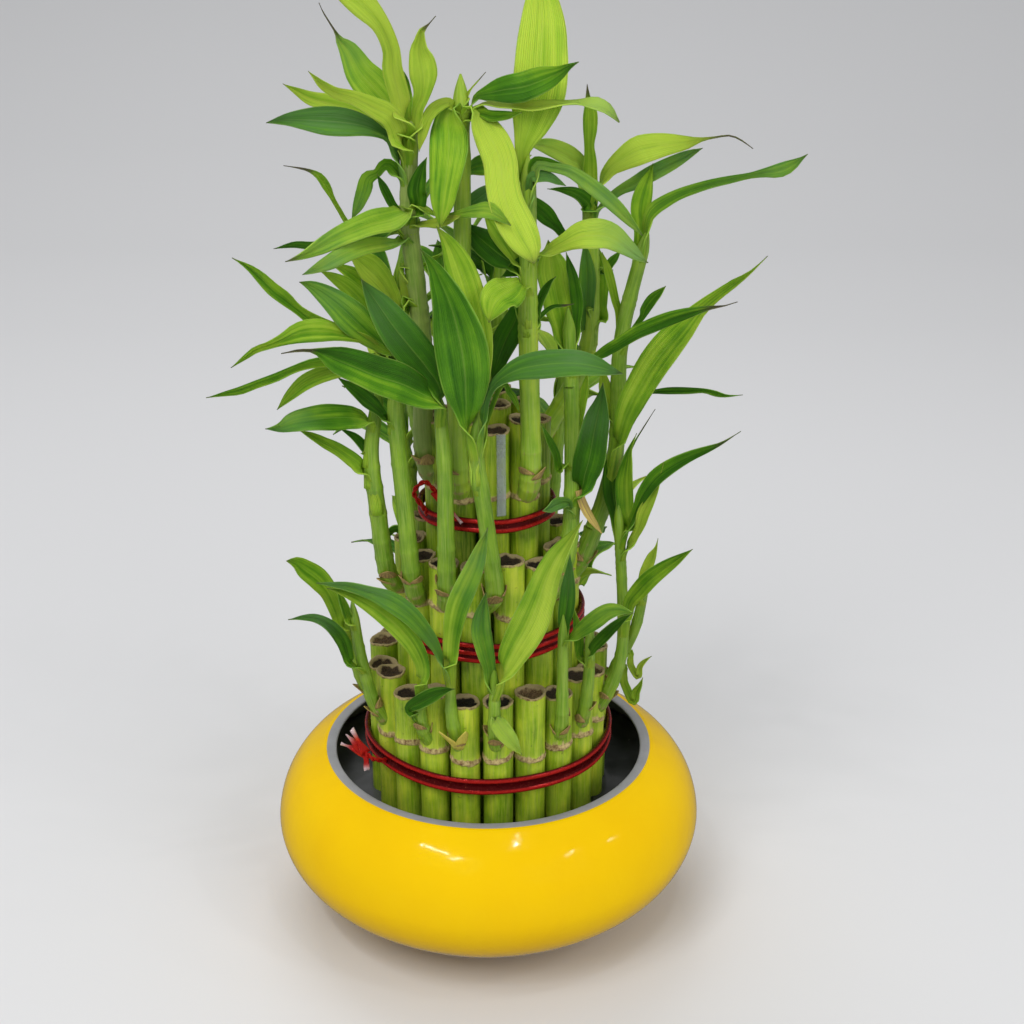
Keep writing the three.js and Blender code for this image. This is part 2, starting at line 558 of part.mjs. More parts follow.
// The middle of a measured leaf as (x, y, z, width), from its shoot to where it thins to a hair.
function sightedRun(row, base) {
  const first = seen(base);
  const spots = [first, ...row.stations];
  const gone = [0];
  for (let k = 1; k < spots.length; k += 1) {
    gone.push(gone[k - 1] + Math.hypot(spots[k][0] - spots[k - 1][0], spots[k][1] - spots[k - 1][1]));
  }
  const whole = gone[gone.length - 1];
  const hair = row.stations.findIndex(([, , wide]) => wide < BLADE.hair);
  const run = row.stations.slice(0, hair + 1).map(([across, down, wide], k) => {
    const point = sightedPoint(across, down, base.y + ((row.depth - base.y) * gone[k + 1]) / whole);
    const width = k === hair ? 0 : (wide * seen(point)[2]) / SIGHT.reach;
    return new THREE.Vector4(point.x, point.y, point.z, width);
  });
  return [new THREE.Vector4(base.x, base.y, base.z, row.stations[0][2] * 0.3), ...run];
}

// The middle of a leaf that grows by rule as (x, y, z, width).
function bowedRun(row, base, look) {
  const tip = vec(row.tip);
  const chord = tip.clone().sub(base).normalize();
  const bowWay = new THREE.Vector3(0, 0, 1).addScaledVector(chord, -chord.z);
  if (bowWay.length() < 0.2) bowWay.copy(look).addScaledVector(chord, -look.dot(chord));
  bowWay.normalize();
  const bend = base.clone().lerp(tip, BLADE.bendAt).addScaledVector(bowWay, 2 * row.bow);
  const spine = new THREE.QuadraticBezierCurve3(base, bend, tip);
  return BLADE_OUTLINE.map(([t, share]) => {
    const point = spine.getPoint(t);
    return new THREE.Vector4(point.x, point.y, point.z, share * row.wide);
  });
}

// A smooth run through knots of (x, y, z, width), with how far along it each point lies.
function smoothRun(knots) {
  const steps = 8;
  const last = knots.length - 1;
  const at = (k) => knots[Math.min(Math.max(k, 0), last)];
  const run = [];
  for (let k = 0; k < last; k += 1) {
    const [a, b, c, d] = [at(k - 1), at(k), at(k + 1), at(k + 2)];
    for (let n = 0; n < steps; n += 1) {
      const t = n / steps;
      const value = (name) =>
        (2 * b[name] +
          (c[name] - a[name]) * t +
          (2 * a[name] - 5 * b[name] + 4 * c[name] - d[name]) * t ** 2 +
          (3 * b[name] - a[name] - 3 * c[name] + d[name]) * t ** 3) /
        2;
      run.push({ point: new THREE.Vector3(value("x"), value("y"), value("z")), wide: value("w") });
    }
  }
  run.push({ point: new THREE.Vector3(at(last).x, at(last).y, at(last).z), wide: 0 });
  run[0].gone = 0;
  for (let k = 1; k < run.length; k += 1) {
    run[k].gone = run[k - 1].gone + run[k].point.distanceTo(run[k - 1].point);
  }
  return run;
}

function alongRun(run, gone) {
  const k = Math.max(1, run.findIndex((spot) => spot.gone >= gone));
  const [low, high] = [run[k - 1], run[k]];
  const share = (gone - low.gone) / Math.max(high.gone - low.gone, 1e-6);
  const tangent = high.point.clone().sub(low.point).normalize();
  return {
    point: low.point.clone().lerp(high.point, share),
    wide: THREE.MathUtils.lerp(low.wide, high.wide, share),
    tangent,
  };
}

function bladeSolid(base, row, look, grow = 0) {
  const run = smoothRun(row.stations ? sightedRun(row, base) : bowedRun(row, base, look));
  const length = run[run.length - 1].gone;
  const facing = new THREE.Vector3(0, 0, 1).lerp(look, row.turn);
  const shares = grow > 0 ? [...BLADE_RINGS, 0.999] : BLADE_RINGS;
  const rings = shares.map((share) => {
    const { point, wide } = alongRun(run, share * length);
    const before = alongRun(run, Math.max(share - 0.04, 0) * length).point;
    const after = alongRun(run, Math.min(share + 0.04, 0.999) * length).point;
    const along = after.sub(before).normalize();
    const across = along.clone().cross(facing).normalize();
    const up = across.clone().cross(along).normalize();
    let half = wide / 2;
    if (row.stations) {
      const ray = point.clone().sub(vec(SIGHT.eye)).normalize();
      half /= Math.max(across.clone().addScaledVector(ray, -across.dot(ray)).length(), BLADE.narrowest);
    }
    const lift = up.clone().multiplyScalar(half * 2 * BLADE.fold);
    const left = point.clone().addScaledVector(across, -half - grow).add(lift);
    const right = point.clone().addScaledVector(across, half + grow).add(lift);
    const thick = THREE.MathUtils.clamp(half, BLADE.thinnest, BLADE.thick) / 2 + grow;
    const end = share > 0.99 ? 0.6 : 0;
    const middle = point.clone().addScaledVector(along, end);
    const top = middle.clone().addScaledVector(up, thick);
    const under = middle.clone().addScaledVector(up, -thick);
    if (grow === 0) return [left, top, right, under];
    const over = (p) => p.clone().addScaledVector(up, grow).addScaledVector(along, end);
    const below = (p) => p.clone().addScaledVector(up, -grow).addScaledVector(along, end);
    return [over(left), top, over(right), below(right), under, below(left)];
  });
  return solidOf(skinned(rings, grow > 0 ? null : run[run.length - 1].point));
}

function grownShoot(place, rule, random) {
  const between = ([low, high]) => low + (high - low) * random();
  const heading = place.angle + (random() - 0.5) * 30;
  const climb = between(rule.climb);
  const out = atAngle(1, heading);
  const root = place.at.clone().addScaledVector(out, 6).setZ(place.scar + 12);
  const path = [0, 0.35, 0.7, 1].map((share) =>
    root.clone().addScaledVector(out, 10 * share).setZ(root.z + climb * share).toArray(),
  );
  const leaves = [];
  for (let k = 0; k < LEAVES_PER_SHOOT; k += 1) {
    const side = 180 + (k % 2 ? 1 : -1) * (15 + 45 * random());
    const at = root.z + climb * (1 - 0.14 * k);
    const reach = between(rule.reach);
    const rise = 0.6 - 0.25 * k + 0.3 * random();
    const axis = vec(path[path.length - 1]);
    const tip = axis.addScaledVector(atAngle(1, side), reach * 0.85).setZ(at + reach * rise);
    leaves.push({ at: at - 2, tip: tip.toArray(), bow: 6, wide: 8 + 4 * random(), turn: 0.4 });
  }
  return { cane: place.name, path, leaves, look: out };
}

function allShoots(places) {
  const random = seededRandom(SEED);
  const shoots = SHOOTS.map((shoot) => ({ ...shoot, look: FRONT }));
  for (const [tier, rule] of Object.entries(GROWN)) {
    for (const number of rule.canes) {
      const name = `${tier}_${String(number).padStart(2, "0")}`;
      shoots.push(grownShoot(places.find((place) => place.name === name), rule, random));
    }
  }
  return shoots;
}

// ---- Bowl and water ----

// The outside of the bowl, from its foot to the lip: a flat foot, a round belly, a drawn-in shoulder.
function bowlOutside() {
  const { foot, height, lipOuter } = BOWL;
  const belly = new THREE.SplineCurve(
    [[foot, 0], [56.5, 9.5], [69, 20.5], [74, 32], [72.4, 43.5], [66.6, 53], [lipOuter, height]].map(
      ([r, z]) => new THREE.Vector2(r, z),
    ),
  );
  return belly.getPoints(12).map((p) => [p.x, p.y]);
}

// The inside follows the outside, one wall thickness in. `inset` moves it further in.
function bowlInside(inset = 0) {
  const { lipInner, height, floor } = BOWL;
  const points = [[lipInner, height], [61.5, 51], [67.5, 43], [69.5, 32], [63.5, 20.5], [52, 11], [43, floor]];
  return points.map(([r, z]) => [r - inset, z]);
}

function bowlSolid() {
  const points = [[0, 0], ...bowlOutside(), ...bowlInside(), [0, BOWL.floor]];
  return solidOf(turned(points, BOWL.sides));
}

function waterSolid(places) {
  const wall = bowlInside(GAP)
    .filter(([, z]) => z < WATER.top - 2 && z > WATER.bottom)
    .reverse();
  const points = [[0, WATER.bottom], [43, WATER.bottom], ...wall, [64.8, WATER.top], [0, WATER.top]];
  const full = solidOf(turned(points, WATER.sides));
  const middle = [[0, 0], [WATER.innerRadius, 0], [WATER.innerRadius, 90], [0, 90]];
  const holes = places.filter((place) => place.tier === "lower").map((place) => caneSolid(place, GAP));
  return largestBody(full.subtract(joined([solidOf(turned(middle, WATER.sides)), ...holes])));
}

// ---- Ties and the strip ----

function wireSolid(points, radius) {
  const rings = points.map((point, k) => {
    const before = points[Math.max(k - 1, 0)];
    const after = points[Math.min(k + 1, points.length - 1)];
    const along = after.clone().sub(before).normalize();
    const side = along.clone().cross(new THREE.Vector3(0, 0, 1)).normalize();
    const up = side.clone().cross(along);
    const ring = [];
    for (let i = 0; i < WIRE.sides; i += 1) {
      const a = (-2 * Math.PI * i) / WIRE.sides;
      const out = side.clone().multiplyScalar(radius * Math.cos(a));
      ring.push(point.clone().add(out).addScaledVector(up, radius * Math.sin(a)));
    }
    return ring;
  });
  return solidOf(skinned(rings));
}

// The band's section, wire by wire, from the lowest to the highest and back down on the inside.
function bandOutline(tie, radius, grow) {
  const wire = WIRE.radius + grow;
  const film = WIRE.film + grow;
  const heights = Array.from({ length: tie.wires }, (_, k) => tie.span * (k - (tie.wires - 1) / 2));
  const side = (sign) =>
    heights.flatMap((z) => [
      [radius + sign * film, z - wire * 0.9],
      [radius + sign * wire, z],
      [radius + sign * film, z + wire * 0.9],
    ]);
  const outline = [...side(1), ...side(-1).reverse()];
  return [...outline, outline[0]].map(([r, z]) => [r, z + tie.z]);
}

// The band goes once round its tier, and its twisted ends stand out at the tail.
function tieSolid(tie, grow = 0) {
  const ring = RINGS[tie.ring];
  const inside = ring.radius + CANE.radius + GAP + WIRE.radius;
  const radius = inside / Math.cos(Math.PI / TIE_SIDES);
  const band = solidOf(turned(bandOutline(tie, radius, grow), TIE_SIDES));
  const root = atAngle(radius - 0.2, tie.tail, tie.z);
  const knot = atAngle(radius + 2.6, tie.tail + 1, tie.z + 1.5);
  const end = atAngle(radius + tie.reach, tie.tail + 4, tie.z + 8);
  return joined([band, wireSolid([root, knot, end], WIRE.radius * 1.6 + grow)]);
}

function stripSolid(grow = 0) {
  const { width, thick, angle, radius, bottom, top } = STRIP;
  const box = new THREE.BoxGeometry(width + 2 * grow, thick + 2 * grow, top - bottom + 2 * grow);
  box.rotateZ(radians(angle));
  const middle = atAngle(radius, angle, (top + bottom) / 2);
  return solidOf(box.translate(middle.x, middle.y, middle.z));
}

// ---- Putting it together ----

function touching(a, b) {
  const [p, q] = [a.boundingBox(), b.boundingBox()];
  return [0, 1, 2].every((k) => p.min[k] <= q.max[k] && q.min[k] <= p.max[k]);
}

function without(solid, others) {
  const near = others.filter((other) => touching(solid, other));
  return near.length ? solid.subtract(joined(near)) : solid;
}

function plantMeshes(places, obstacles) {
  const shoots = allShoots(places);
  const canes = new Map(places.map((place) => [place.name, caneSolid(place)]));
  const caneRooms = new Map(places.map((place) => [place.name, caneSolid(place, GAP)]));
  const order = [...shoots];
  const paths = new Map();
  const shootRooms = new Map();
  for (const shoot of order) {
    const place = places.find((one) => one.name === shoot.cane);
    paths.set(shoot.cane, shootPath(place, shoot.path));
    shootRooms.set(shoot.cane, shootSolid(paths.get(shoot.cane), GAP));
  }
  const bodies = new Map(canes);
  const leafRooms = [];
  order.forEach((shoot, k) => {
    const own = shoot.cane;
    const otherCanes = [...caneRooms].filter(([name]) => name !== own).map(([, room]) => room);
    const otherShoots = [...shootRooms].filter(([name]) => name !== own).map(([, room]) => room);
    const earlier = order.slice(0, k).map((one) => shootRooms.get(one.cane));
    const points = paths.get(own);
    const stem = without(shootSolid(points), [...otherCanes, ...earlier, ...obstacles]);
    const bases = shoot.leaves.map((row) => pointAtHeight(points, row.at));
    const blades = shoot.leaves.map((row, n) => bladeSolid(bases[n], row, shoot.look));
    const taken = [...otherCanes, ...otherShoots, ...leafRooms, ...obstacles];
    const foliage = blades.map((blade) => without(blade, taken));
    bodies.set(own, largestBody(joined([canes.get(own), stem, ...foliage])));
    leafRooms.push(...shoot.leaves.map((row, n) => bladeSolid(bases[n], row, shoot.look, LEAF_GAP)));
  });
  return places.map((place) =>
    meshOf(bodies.get(place.name), `cane_${place.name}`, PLANT_LOOK[place.tier]()),
  );
}

function build() {
  const part = new THREE.Group();
  const places = canePlaces();
  part.add(meshOf(bowlSolid(), "bowl", BOWL_GLAZE()));
  part.add(meshOf(waterSolid(places), "water", WATER_LOOK()));
  for (const tie of TIES) {
    part.add(meshOf(tieSolid(tie), tie.name, WIRE_LOOK()));
  }
  part.add(meshOf(stripSolid(), "plastic_strip", STRIP_LOOK()));
  const obstacles = [...TIES.map((tie) => tieSolid(tie, GAP)), stripSolid(GAP)];
  part.add(...plantMeshes(places, obstacles));
  return part;
}

export default build();
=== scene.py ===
"""Lucky bamboo: three tiers of cut canes, tied with red foil bands, standing in the water of a yellow bowl.

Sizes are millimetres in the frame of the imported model, +Z up, with the front of the plant towards -Y.
A mesh is turned into metres when it becomes a piece.
"""

import logging
import math
import random
from dataclasses import dataclass, field
from enum import Enum
from typing import Callable, Iterable, Iterator

import bmesh
import bpy
from bmesh.types import BMEdge, BMFace, BMVert
from bpy.types import Material, Node, NodeSocket, NodeTree
from mathutils import Matrix, Vector


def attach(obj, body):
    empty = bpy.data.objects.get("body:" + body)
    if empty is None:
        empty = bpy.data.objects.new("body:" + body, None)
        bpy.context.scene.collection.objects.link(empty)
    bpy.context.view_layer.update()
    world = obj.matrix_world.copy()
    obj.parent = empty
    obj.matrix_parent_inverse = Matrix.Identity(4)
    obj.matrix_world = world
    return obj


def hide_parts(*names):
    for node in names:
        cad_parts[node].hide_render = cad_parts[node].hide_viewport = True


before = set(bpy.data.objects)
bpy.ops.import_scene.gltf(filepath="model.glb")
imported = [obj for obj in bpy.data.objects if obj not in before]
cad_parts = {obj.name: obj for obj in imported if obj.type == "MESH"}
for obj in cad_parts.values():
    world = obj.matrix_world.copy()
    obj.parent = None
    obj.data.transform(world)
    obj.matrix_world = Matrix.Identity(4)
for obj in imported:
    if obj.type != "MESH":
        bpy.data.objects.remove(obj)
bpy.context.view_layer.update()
LOG = logging.getLogger("lucky_bamboo")

MM = 0.001
UP = Vector((0, 0, 1))
FRONT = Vector((0, -0.93, 0.37))  # the way a blade with a turn of 1 looks
GRAIN_MAP = "grain"  # UV map: across or round, and along
# on leaves the look attribute's fourth share is a waxy grey that also paints sheen
LOOK = "look"  # attribute: tone, chance, dryness or bark, and bloom


class Tone(Enum):
    """How green a leaf or a stem is, as its place on a colour ramp."""

    FRESH = 0.0
    LIGHT = 0.3
    GREEN = 0.55
    DEEP = 0.8
    OLIVE = 1.0


FRESH, LIGHT, GREEN, DEEP, OLIVE = Tone

Triple = tuple[float, float, float]


@dataclass(frozen=True)
class Leaf:
    """One leaf, as it is seen from the front.

    It leaves its shoot at the height `at` and its tip lies at `depth` along Y. A station is where the middle
    of the blade is seen, across and down, and how wide the blade is seen there. `turn` goes from 0, face up,
    to 1, facing the front. `far` is how much darker one half is painted, as painted shade on the half turned
    from the light, the grey pair how grey it is at its foot and at its tip, as a waxy coat with painted
    sheen, and `dry` how far its tip is withered.
    """

    at: float
    depth: float
    stations: tuple[Triple, ...]
    tone: Tone = GREEN
    turn: float = 0.85
    far: float = 0.0
    bloom_and_sheen: tuple[float, float] = (0.0, 0.0)
    dry: float = 0.0


@dataclass(frozen=True)
class BowedLeaf:
    """One leaf that grows by rule: where it leaves its shoot, its tip, its bow and its width."""

    at: float
    tip: Triple
    bow: float
    wide: float
    turn: float
    tone: Tone = GREEN
    dry: float = 0.0
    far: float = 0.0
    bloom_and_sheen: tuple[float, float] = (0.0, 0.0)


@dataclass(frozen=True)
class ShootPlan:
    """One shoot: the cane that bears it, the points it climbs through, and its leaves."""

    cane: str
    path: tuple[Triple, ...]
    leaves: tuple[Leaf | BowedLeaf, ...]
    tone: Tone = GREEN
    look: Vector = field(default_factory=FRONT.copy)


PLACED_SHOOTS = (
    # The front shoot, with the largest dark leaf
    ShootPlan("middle_01", ((2, -31, 130), (1, -31, 145), (-3, -31, 176), (-3, -30, 184)), (
        Leaf(178, -38, ((468, 424, 14), (466, 400, 36), (465, 376, 50), (462, 351, 54), (457, 327, 50),
             (450, 303, 38), (441, 282, 25), (433, 266, 13), (420, 249, 0)), DEEP, far=-0.12),
        Leaf(180, -40, ((481, 425, 7), (485, 404, 8), (492, 388, 9), (503, 378, 14), (518, 370, 22),
             (536, 366, 27), (556, 364, 28), (576, 364, 27), (595, 367, 20), (610, 371, 10), (623, 374, 0)),
             DEEP, bloom_and_sheen=(0.35, 0.6)),
        Leaf(181, -22, ((480, 400, 14), (480, 350, 26), (473, 315, 32), (465, 285, 33), (457, 262, 28),
             (448, 243, 15), (436, 226, 0)), LIGHT),
        Leaf(179, -22, ((500, 388, 5), (509, 392, 6), (515, 401, 6), (519, 412, 0)), GREEN),
    )),
    ShootPlan("middle_15", ((-13, -28, 130), (-13, -28.5, 155), (-13, -28, 172), (-14, -28, 190)), (
        Leaf(188, -56, ((440, 404, 18), (422, 394, 30), (401, 384, 37), (378, 377, 38), (356, 368, 35),
             (336, 360, 27), (323, 354, 13), (312, 351, 4), (297, 351, 3), (281, 354, 0)), GREEN, far=0.3,
             dry=0.8),
        Leaf(189, -34, ((442, 392, 18), (426, 367, 34), (409, 346, 38), (393, 326, 36), (379, 306, 27),
             (370, 293, 15), (361, 279, 0)), DEEP, bloom_and_sheen=(0, 0.4)),
    )),
    ShootPlan("middle_14", ((-24, -23, 131), (-26, -25, 160), (-28, -25, 187), (-27, -24, 205)), (
        Leaf(204, -30, ((400, 356, 8), (386, 347, 17), (368, 333, 27), (352, 318, 33), (338, 305, 28),
             (324, 294, 20), (311, 286, 11), (299, 282, 0)), GREEN, bloom_and_sheen=(0, 0.8)),
        Leaf(203, -46, ((385, 358, 6), (350, 362, 9), (318, 363, 10), (296, 369, 8), (276, 378, 9),
             (256, 385, 8), (240, 391, 8), (225, 394, 5), (206, 398, 0)), GREEN),
        Leaf(196, -36, ((375, 372, 10), (345, 370, 14), (322, 375, 16), (305, 383, 16), (293, 393, 12),
             (285, 401, 7), (277, 410, 0)), LIGHT),
        Leaf(205, -18, ((385, 345, 8), (345, 333, 12), (316, 322, 13), (298, 310, 10), (285, 299, 14),
             (273, 290, 14), (262, 279, 12), (252, 270, 8), (243, 264, 4), (232, 258, 0)), GREEN, far=-0.2),
        Leaf(200, -36, ((375, 345, 8), (345, 335, 14), (320, 331, 23), (300, 333, 21), (283, 340, 12),
             (268, 346, 8), (256, 350, 7), (246, 357, 5), (231, 368, 0)), LIGHT),
        # a leaf in the shade of the leaves above it: its deep tone is painted shade
        Leaf(186, -30, ((384, 415, 8), (370, 402, 15), (355, 390, 12), (337, 377, 0)), DEEP),
    )),
    ShootPlan("middle_13", ((-32, -16, 130), (-35, -22, 160), (-36, -22, 176), (-34, -20, 190)), (
        Leaf(184, -38, ((372, 422, 16), (352, 418, 23), (331, 418, 26), (310, 420, 25), (293, 423, 20),
             (279, 428, 9), (265, 429, 0)), GREEN, bloom_and_sheen=(0, 0.8), far=-0.15),
        Leaf(168, -26, ((366, 471, 12), (354, 461, 15), (338, 450, 13), (323, 442, 10), (311, 436, 7),
             (300, 431, 0)), LIGHT),
        Leaf(177, -20, ((372, 460, 8), (366, 449, 10), (355, 437, 8), (339, 428, 0)), DEEP),
    )),
    ShootPlan("middle_03", ((23, -22, 131), (27, -18, 150), (27, -10, 190), (26, -8, 211)), (
        Leaf(156, -27, ((577, 497, 13), (583, 480, 24), (589, 460, 32), (593, 438, 30), (597, 418, 25),
             (601, 401, 13), (603, 382, 0)), DEEP, bloom_and_sheen=(0, 0.4)),
        Leaf(206, -5, ((575, 330, 8), (577, 305, 12), (574, 285, 12), (570, 268, 8), (566, 252, 0)), DEEP),
        Leaf(204, 0, ((563, 330, 20), (559, 308, 30), (554, 285, 32), (551, 265, 30), (548, 240, 0)), LIGHT),
        Leaf(198, -40, ((593, 358, 8), (606, 351, 11), (620, 343, 12), (637, 333, 14), (655, 325, 15),
             (675, 317, 13), (694, 312, 9), (711, 308, 4), (724, 306, 1.5), (738, 302, 0)), GREEN, far=0.25,
             dry=0.8),
        Leaf(172, -8, ((578, 425, 8), (582, 405, 9), (585, 388, 8), (588, 370, 0)), LIGHT),
        Leaf(153, -32, ((568, 503, 8), (558, 504, 13), (549, 509, 9), (542, 511, 0)), GREEN,
             bloom_and_sheen=(0.4, 0.7)),
        Leaf(168, -20, ((560, 470, 7), (556, 455, 8), (549, 440, 7), (541, 424, 0)), GREEN),
    )),
    ShootPlan("middle_05", ((33, -1, 133), (42, 0, 165), (43, 0, 204), (49, 0, 234)), (
        Leaf(232, -5, ((645, 224, 9), (652, 211, 13), (663, 203, 13), (678, 195, 11), (695, 189, 10),
             (712, 184, 9), (730, 180, 8), (749, 176, 6), (765, 173, 9), (779, 171, 14), (791, 166, 12),
             (800, 160, 5), (808, 154, 0)), GREEN, bloom_and_sheen=(0.1, 0.6)),
        Leaf(230, 5, ((641, 228, 14), (640, 212, 19), (642, 198, 20), (646, 184, 14), (650, 173, 6),
             (653, 163, 0)), LIGHT),
        Leaf(203, -5, ((641, 319, 6), (645, 310, 10), (652, 300, 11), (659, 293, 8), (666, 286, 0)), GREEN),
        Leaf(196, 3, ((619, 318, 7), (615, 300, 8), (611, 283, 9), (607, 268, 8), (602, 252, 0)), LIGHT),
        Leaf(158, -28, ((617, 445, 13), (622, 425, 19), (630, 405, 26), (641, 385, 29), (654, 364, 32),
             (669, 345, 32), (685, 327, 26), (701, 309, 15), (718, 295, 10), (735, 283, 8), (750, 273, 3),
             (768, 256, 0)), LIGHT, far=0.1),
        Leaf(187, -12, ((650, 392, 4), (668, 391, 7), (688, 391, 7), (704, 391, 5), (716, 394, 6),
             (727, 396, 3), (743, 395, 0)), GREEN),
        Leaf(178, 3, ((611, 410, 10), (607, 395, 14), (604, 380, 10), (602, 366, 0)), FRESH),
    )),
    ShootPlan("upper_08", ((-20, -7, 170), (-20, -8, 208), (-23, -8, 245), (-22, -8, 272)), (
        Leaf(268, -24, ((402, 106, 20), (393, 72, 21), (391, 50, 18), (380, 25, 19), (362, 5, 27),
             (344, -10, 25), (326, -22, 13), (310, -28, 0)), FRESH),
        Leaf(266, 8, ((389, 108, 30), (375, 90, 36), (361, 74, 31), (353, 59, 24), (347, 49, 18),
             (340, 41, 9), (336, 33, 3), (329, 22, 1.4), (323, 12, 1.2), (319, 3, 0)), LIGHT, bloom_and_sheen=(0, 0.8),
             dry=1),
        Leaf(267, -14, ((416, 112, 15), (421, 99, 15), (423, 88, 20), (423, 75, 28), (421, 62, 27),
             (419, 50, 20), (420, 40, 12), (422, 31, 7), (428, 25, 2), (436, 16, 0)), FRESH, dry=0.8),
        Leaf(267, -12, ((403, 116, 18), (402, 100, 22), (400, 82, 17), (397, 68, 8), (395, 60, 0)), LIGHT),
        Leaf(264, -26, ((393, 121, 22), (373, 108, 20), (352, 98, 14), (335, 93, 11), (322, 85, 9),
             (314, 77, 4), (308, 71, 0)), FRESH),
        Leaf(262, 0, ((398, 131, 12), (378, 122, 16), (352, 110, 19), (330, 104, 18), (311, 99, 14),
             (296, 91, 7), (283, 84, 0)), FRESH, far=0.15),
        Leaf(258, -18, ((392, 143, 8), (382, 134, 10), (366, 127, 20), (346, 123, 28), (325, 121, 28),
             (305, 120, 21), (286, 120, 12), (266, 123, 0)), GREEN, bloom_and_sheen=(0.5, 0.6), far=0.25),
        Leaf(257, -6, ((388, 165, 12), (377, 174, 9), (368, 179, 14), (364, 192, 15), (358, 207, 10),
             (352, 219, 0)), GREEN, bloom_and_sheen=(0, 0.7)),
        Leaf(244, -10, ((394, 207, 8), (389, 198, 9), (383, 186, 8), (377, 174, 0)), DEEP),
        Leaf(250, -34, ((412, 213, 18), (395, 219, 24), (375, 224, 26), (355, 231, 24), (336, 239, 20),
             (319, 248, 15), (303, 256, 8), (285, 262, 0)), LIGHT, bloom_and_sheen=(0.2, 0.5), dry=0.4),
        Leaf(240, -38, ((405, 243, 9), (386, 244, 13), (366, 247, 17), (346, 254, 18), (327, 264, 14),
             (312, 271, 7), (302, 275, 0)), LIGHT, bloom_and_sheen=(0.3, 0.9)),
        Leaf(242, 6, ((380, 238, 8), (340, 243, 8), (312, 246, 8), (294, 245, 6), (274, 249, 0)), DEEP),
        Leaf(241, 15, ((385, 236, 6), (352, 227, 5), (338, 208, 4.5), (332, 197, 5), (327, 187, 8.5),
             (320, 177, 7.5), (310, 171, 3.5), (298, 168, 1.6), (284, 166, 0)), LIGHT, dry=1),
        Leaf(250, -30, ((433, 214, 4), (446, 216, 4), (460, 214, 7), (474, 212, 14), (488, 212, 18),
             (500, 218, 10), (511, 226, 0)), LIGHT, bloom_and_sheen=(0, 0.3)),
        Leaf(244, -20, ((428, 224, 7), (440, 223, 12), (452, 219, 7), (462, 216, 0)), FRESH),
        Leaf(232, -8, ((400, 312, 10), (391, 296, 18), (379, 279, 26), (365, 265, 24), (347, 252, 0)),
             FRESH),
        Leaf(228, 2, ((402, 325, 6), (398, 300, 5), (396, 285, 3), (396, 270, 0)), LIGHT),
        Leaf(222, -6, ((398, 330, 12), (388, 306, 17), (372, 289, 20), (355, 276, 16), (341, 268, 8),
             (330, 264, 0)), LIGHT),
        Leaf(220, -16, ((384, 326, 14), (362, 302, 19), (346, 286, 16), (332, 277, 9), (320, 271, 0)),
             LIGHT),
        Leaf(244, -14, ((418, 205, 16), (417, 190, 20), (421, 172, 12), (427, 157, 0)), DEEP),
    ), OLIVE),
    ShootPlan("upper_09", ((-9, -19, 170), (-9, -17, 195), (-7, -10, 240), (-7, -4, 281)), (
        Leaf(276, -16, ((474, 98, 6), (487, 94, 15), (505, 90, 25), (525, 87, 30), (544, 80, 26),
             (559, 73, 14), (569, 67, 6), (579, 62, 0)), GREEN, far=0.15),
        Leaf(278, -22, ((458, 108, 14), (452, 118, 24), (449, 132, 36), (449, 150, 39), (447, 170, 35),
             (444, 190, 28), (442, 208, 20), (440, 228, 0)), LIGHT, far=0.1),
        Leaf(277, -32, ((470, 111, 14), (480, 124, 25), (492, 141, 33), (500, 161, 34), (502, 182, 34),
             (506, 203, 36), (514, 223, 38), (523, 240, 33), (530, 253, 22), (534, 264, 0)), FRESH),
        Leaf(276, -14, ((482, 105, 7), (505, 107, 9), (530, 108, 11), (552, 106, 12), (569, 105, 9),
             (580, 105, 9), (594, 107, 17), (606, 111, 13), (613, 117, 6), (619, 123, 0)), FRESH, turn=0.3,
             bloom_and_sheen=(0, 0.7)),
        # the lower half of the folded leaf just above, in shade: its greener tone is painted shade
        Leaf(274, -12, ((478, 114, 8), (493, 117, 11), (508, 116, 8), (522, 113, 0)), GREEN),
        Leaf(276, -14, ((450, 103, 9), (436, 108, 12), (427, 120, 12), (422, 136, 9), (419, 152, 0)), FRESH),
        Leaf(279, -6, ((466, 97, 5), (471, 89, 2), (478, 81, 1.5), (486, 72, 0)), FRESH, dry=1),
        Leaf(240, 4, ((462, 212, 10), (474, 202, 16), (488, 192, 14), (505, 183, 0)), DEEP,
             bloom_and_sheen=(0.4, 0.6)),
    ), LIGHT),
    ShootPlan("upper_02", ((14, -17.5, 168), (13, -18, 211), (13, -16, 232), (13, -10, 258)), (
        Leaf(254, 4, ((523, 158, 14), (525, 142, 22), (531, 124, 38), (537, 100, 53), (540, 75, 54),
             (541, 50, 52), (542, 25, 46), (541, 0, 33), (539, -17, 18), (537, -28, 0)), FRESH),
        Leaf(252, -18, ((535, 168, 9), (552, 168, 9), (570, 172, 12), (588, 184, 15), (605, 197, 15),
             (620, 211, 13), (632, 224, 8), (643, 236, 0)), LIGHT, bloom_and_sheen=(0.6, 0.8)),
        Leaf(256, 4, ((505, 172, 14), (490, 167, 20), (476, 168, 17), (458, 176, 0)), GREEN),
        Leaf(226, -38, ((521, 284, 16), (510, 292, 33), (498, 300, 37), (492, 311, 24), (489, 323, 0)),
             LIGHT),
        Leaf(236, -26, ((532, 258, 9), (548, 251, 12), (565, 243, 17), (580, 237, 27), (595, 236, 31),
             (610, 238, 26), (625, 247, 18), (638, 257, 10), (648, 263, 0)), FRESH, bloom_and_sheen=(0, 1)),
        Leaf(250, -14, ((530, 180, 8), (536, 177, 12), (548, 177, 10), (558, 182, 6), (566, 186, 0)), GREEN,
             bloom_and_sheen=(0.9, 1)),
        Leaf(254, -12, ((532, 163, 6), (545, 162, 8), (558, 166, 7), (572, 172, 5), (585, 178, 0)), GREEN),
